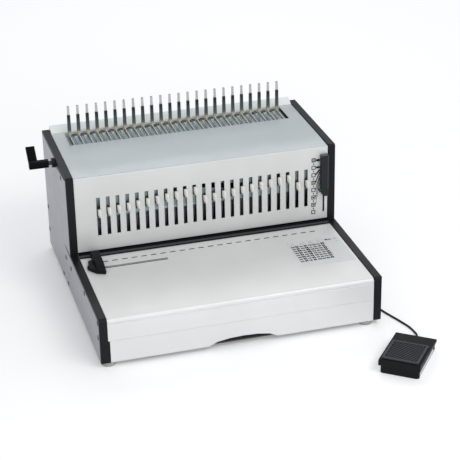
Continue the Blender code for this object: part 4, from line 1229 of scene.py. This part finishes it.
def make_table_print():
    """Alignment dashes under the dies, and a generic table of comb sizes made of plain marks."""
    bm = bmesh.new()
    for i in range(DIES):
        mark(bm, die_x(i) - 4.0, 168.5, die_x(i) + 4.0, 170.6)
    for edge in (GUIDE_SLOT_Y[0] - 1.0, GUIDE_SLOT_Y[1]):
        mark(bm, GUIDE_SLOT_X[0], edge, GUIDE_SLOT_X[1], edge + 1.0)
    new_piece("hole_marks", bm, PRINT)
    outline = rounded((LABEL_X[0], LABEL_Y[0]), (LABEL_X[1], LABEL_Y[1]), 1.5, 3)
    bm = plate_mesh("label", "xy", [outline], TABLE_Z - 0.02, TABLE_Z + 0.1)
    new_piece("size_label", bm, LABEL, width=0.04, segments=1)
    draw = random.Random(11)
    bm, light = bmesh.new(), bmesh.new()
    row_step = (CHART_Y[1] - CHART_Y[0]) / CHART_ROWS
    for row in range(CHART_ROWS):
        y = CHART_Y[0] + row_step * (row + 0.1)
        for column in range(CHART_COLUMNS):
            x = CHART_X[0] + 0.6 + CHART_COLUMN * column
            bold = column in BOLD_COLUMNS
            place = x
            while place < x + 4.6:
                run = draw.uniform(1.6, 2.6) if bold else draw.uniform(0.9, 1.9)
                tall = draw.uniform(4.6, 5.4) if bold else draw.uniform(3.3, 4.4)
                mark(bm, place, y, min(place + run, x + 5.2), y + tall)
                place += run + draw.uniform(0.35, 0.6)
    for x in (CHART_X[0] - 1.2, CHART_X[0] + 12.7, CHART_X[0] + 32.2, CHART_X[1] + 0.8):
        mark(light, x, CHART_Y[0] - 1.2, x + 0.35, CHART_Y[1] + 10.0)
    for y in (CHART_Y[0] - 1.3, CHART_Y[1] + 0.4, CHART_Y[1] + 10.0):
        mark(light, CHART_X[0] - 1.2, y, CHART_X[1] + 1.0, y + 0.4)
    for x, wide in ((112.0, 7.0), (125.0, 10.0), (138.0, 9.0), (151.0, 8.0)):
        mark(light, x, CHART_Y[1] + 2.2, x + wide, CHART_Y[1] + 4.0)
        mark(light, x + 1.0, CHART_Y[1] + 5.6, x + wide - 2.0, CHART_Y[1] + 7.4)
    mark(bm, 165.0, 135.4, 169.4, 138.6)
    mark(bm, 170.2, 135.8, 174.4, 138.2)
    mark(light, 177.5, 135.6, 183.5, 138.4)
    mark(light, 179.0, 128.0, 184.5, 130.0)
    new_piece("size_chart", bm, PRINT)
    new_piece("size_chart_rules", light, PRINT_LIGHT)


def panel_mark(bm, points):
    """A flat printed outline on the front panel, points in (x, z)."""
    add_prism(bm, points, PANEL_Y - 0.05, PANEL_Y + 0.02, "xz")


def stroke(bm, a, b, wide):
    """A printed line from a to b on the front panel."""
    a, b = Vector(a), Vector(b)
    side = Vector((a.y - b.y, b.x - a.x)).normalized() * wide / 2
    panel_mark(bm, [tuple(a + side), tuple(b + side), tuple(b - side), tuple(a - side)])


SCALE_GOALS = (167.0, 155.9, 151.9, 148.0, 141.7, 137.6, 130.5)
SCALE_STROKES = (4.0, 3.6, 2.5, 1.8, 1.3, 1.05, 0.85)


def make_size_scale():
    """Plain squares, some barred or dotted, and lines that fan from them to the slider."""
    bm = bmesh.new()
    half, thick = 2.6, 1.25
    for i in range(8):
        z = SCALE_TOP - SCALE_STEP * i
        reach = half + thick / 2
        for side in (-1, 1):
            stroke(bm, (SCALE_X + side * half, z - reach), (SCALE_X + side * half, z + reach), thick)
            stroke(bm, (SCALE_X - half, z + side * half), (SCALE_X + half, z + side * half), thick)
        if i in (0, 3):
            for x in (-0.85, 0.85):
                stroke(bm, (SCALE_X + x, z - half), (SCALE_X + x, z + half), 0.95)
        if i in (5, 6):
            panel_mark(bm, arc((SCALE_X, z), 1.35, 0, 330, 11))
        if i < 7:
            stroke(bm, (SCALE_X, z - 4.7), (SCALE_X, z - 7.3), 1.6)
            goal, wide = SCALE_GOALS[i], SCALE_STROKES[i]
            elbow = (SCALE_X + 5.0, z + (goal - z) * 0.3)
            stroke(bm, (SCALE_X + 3.6, z), elbow, wide * 0.8)
            stroke(bm, elbow, (SCALE_X + 9.6, goal), wide)
    new_piece("size_scale", bm, PRINT)


make_table_print()
make_size_scale()
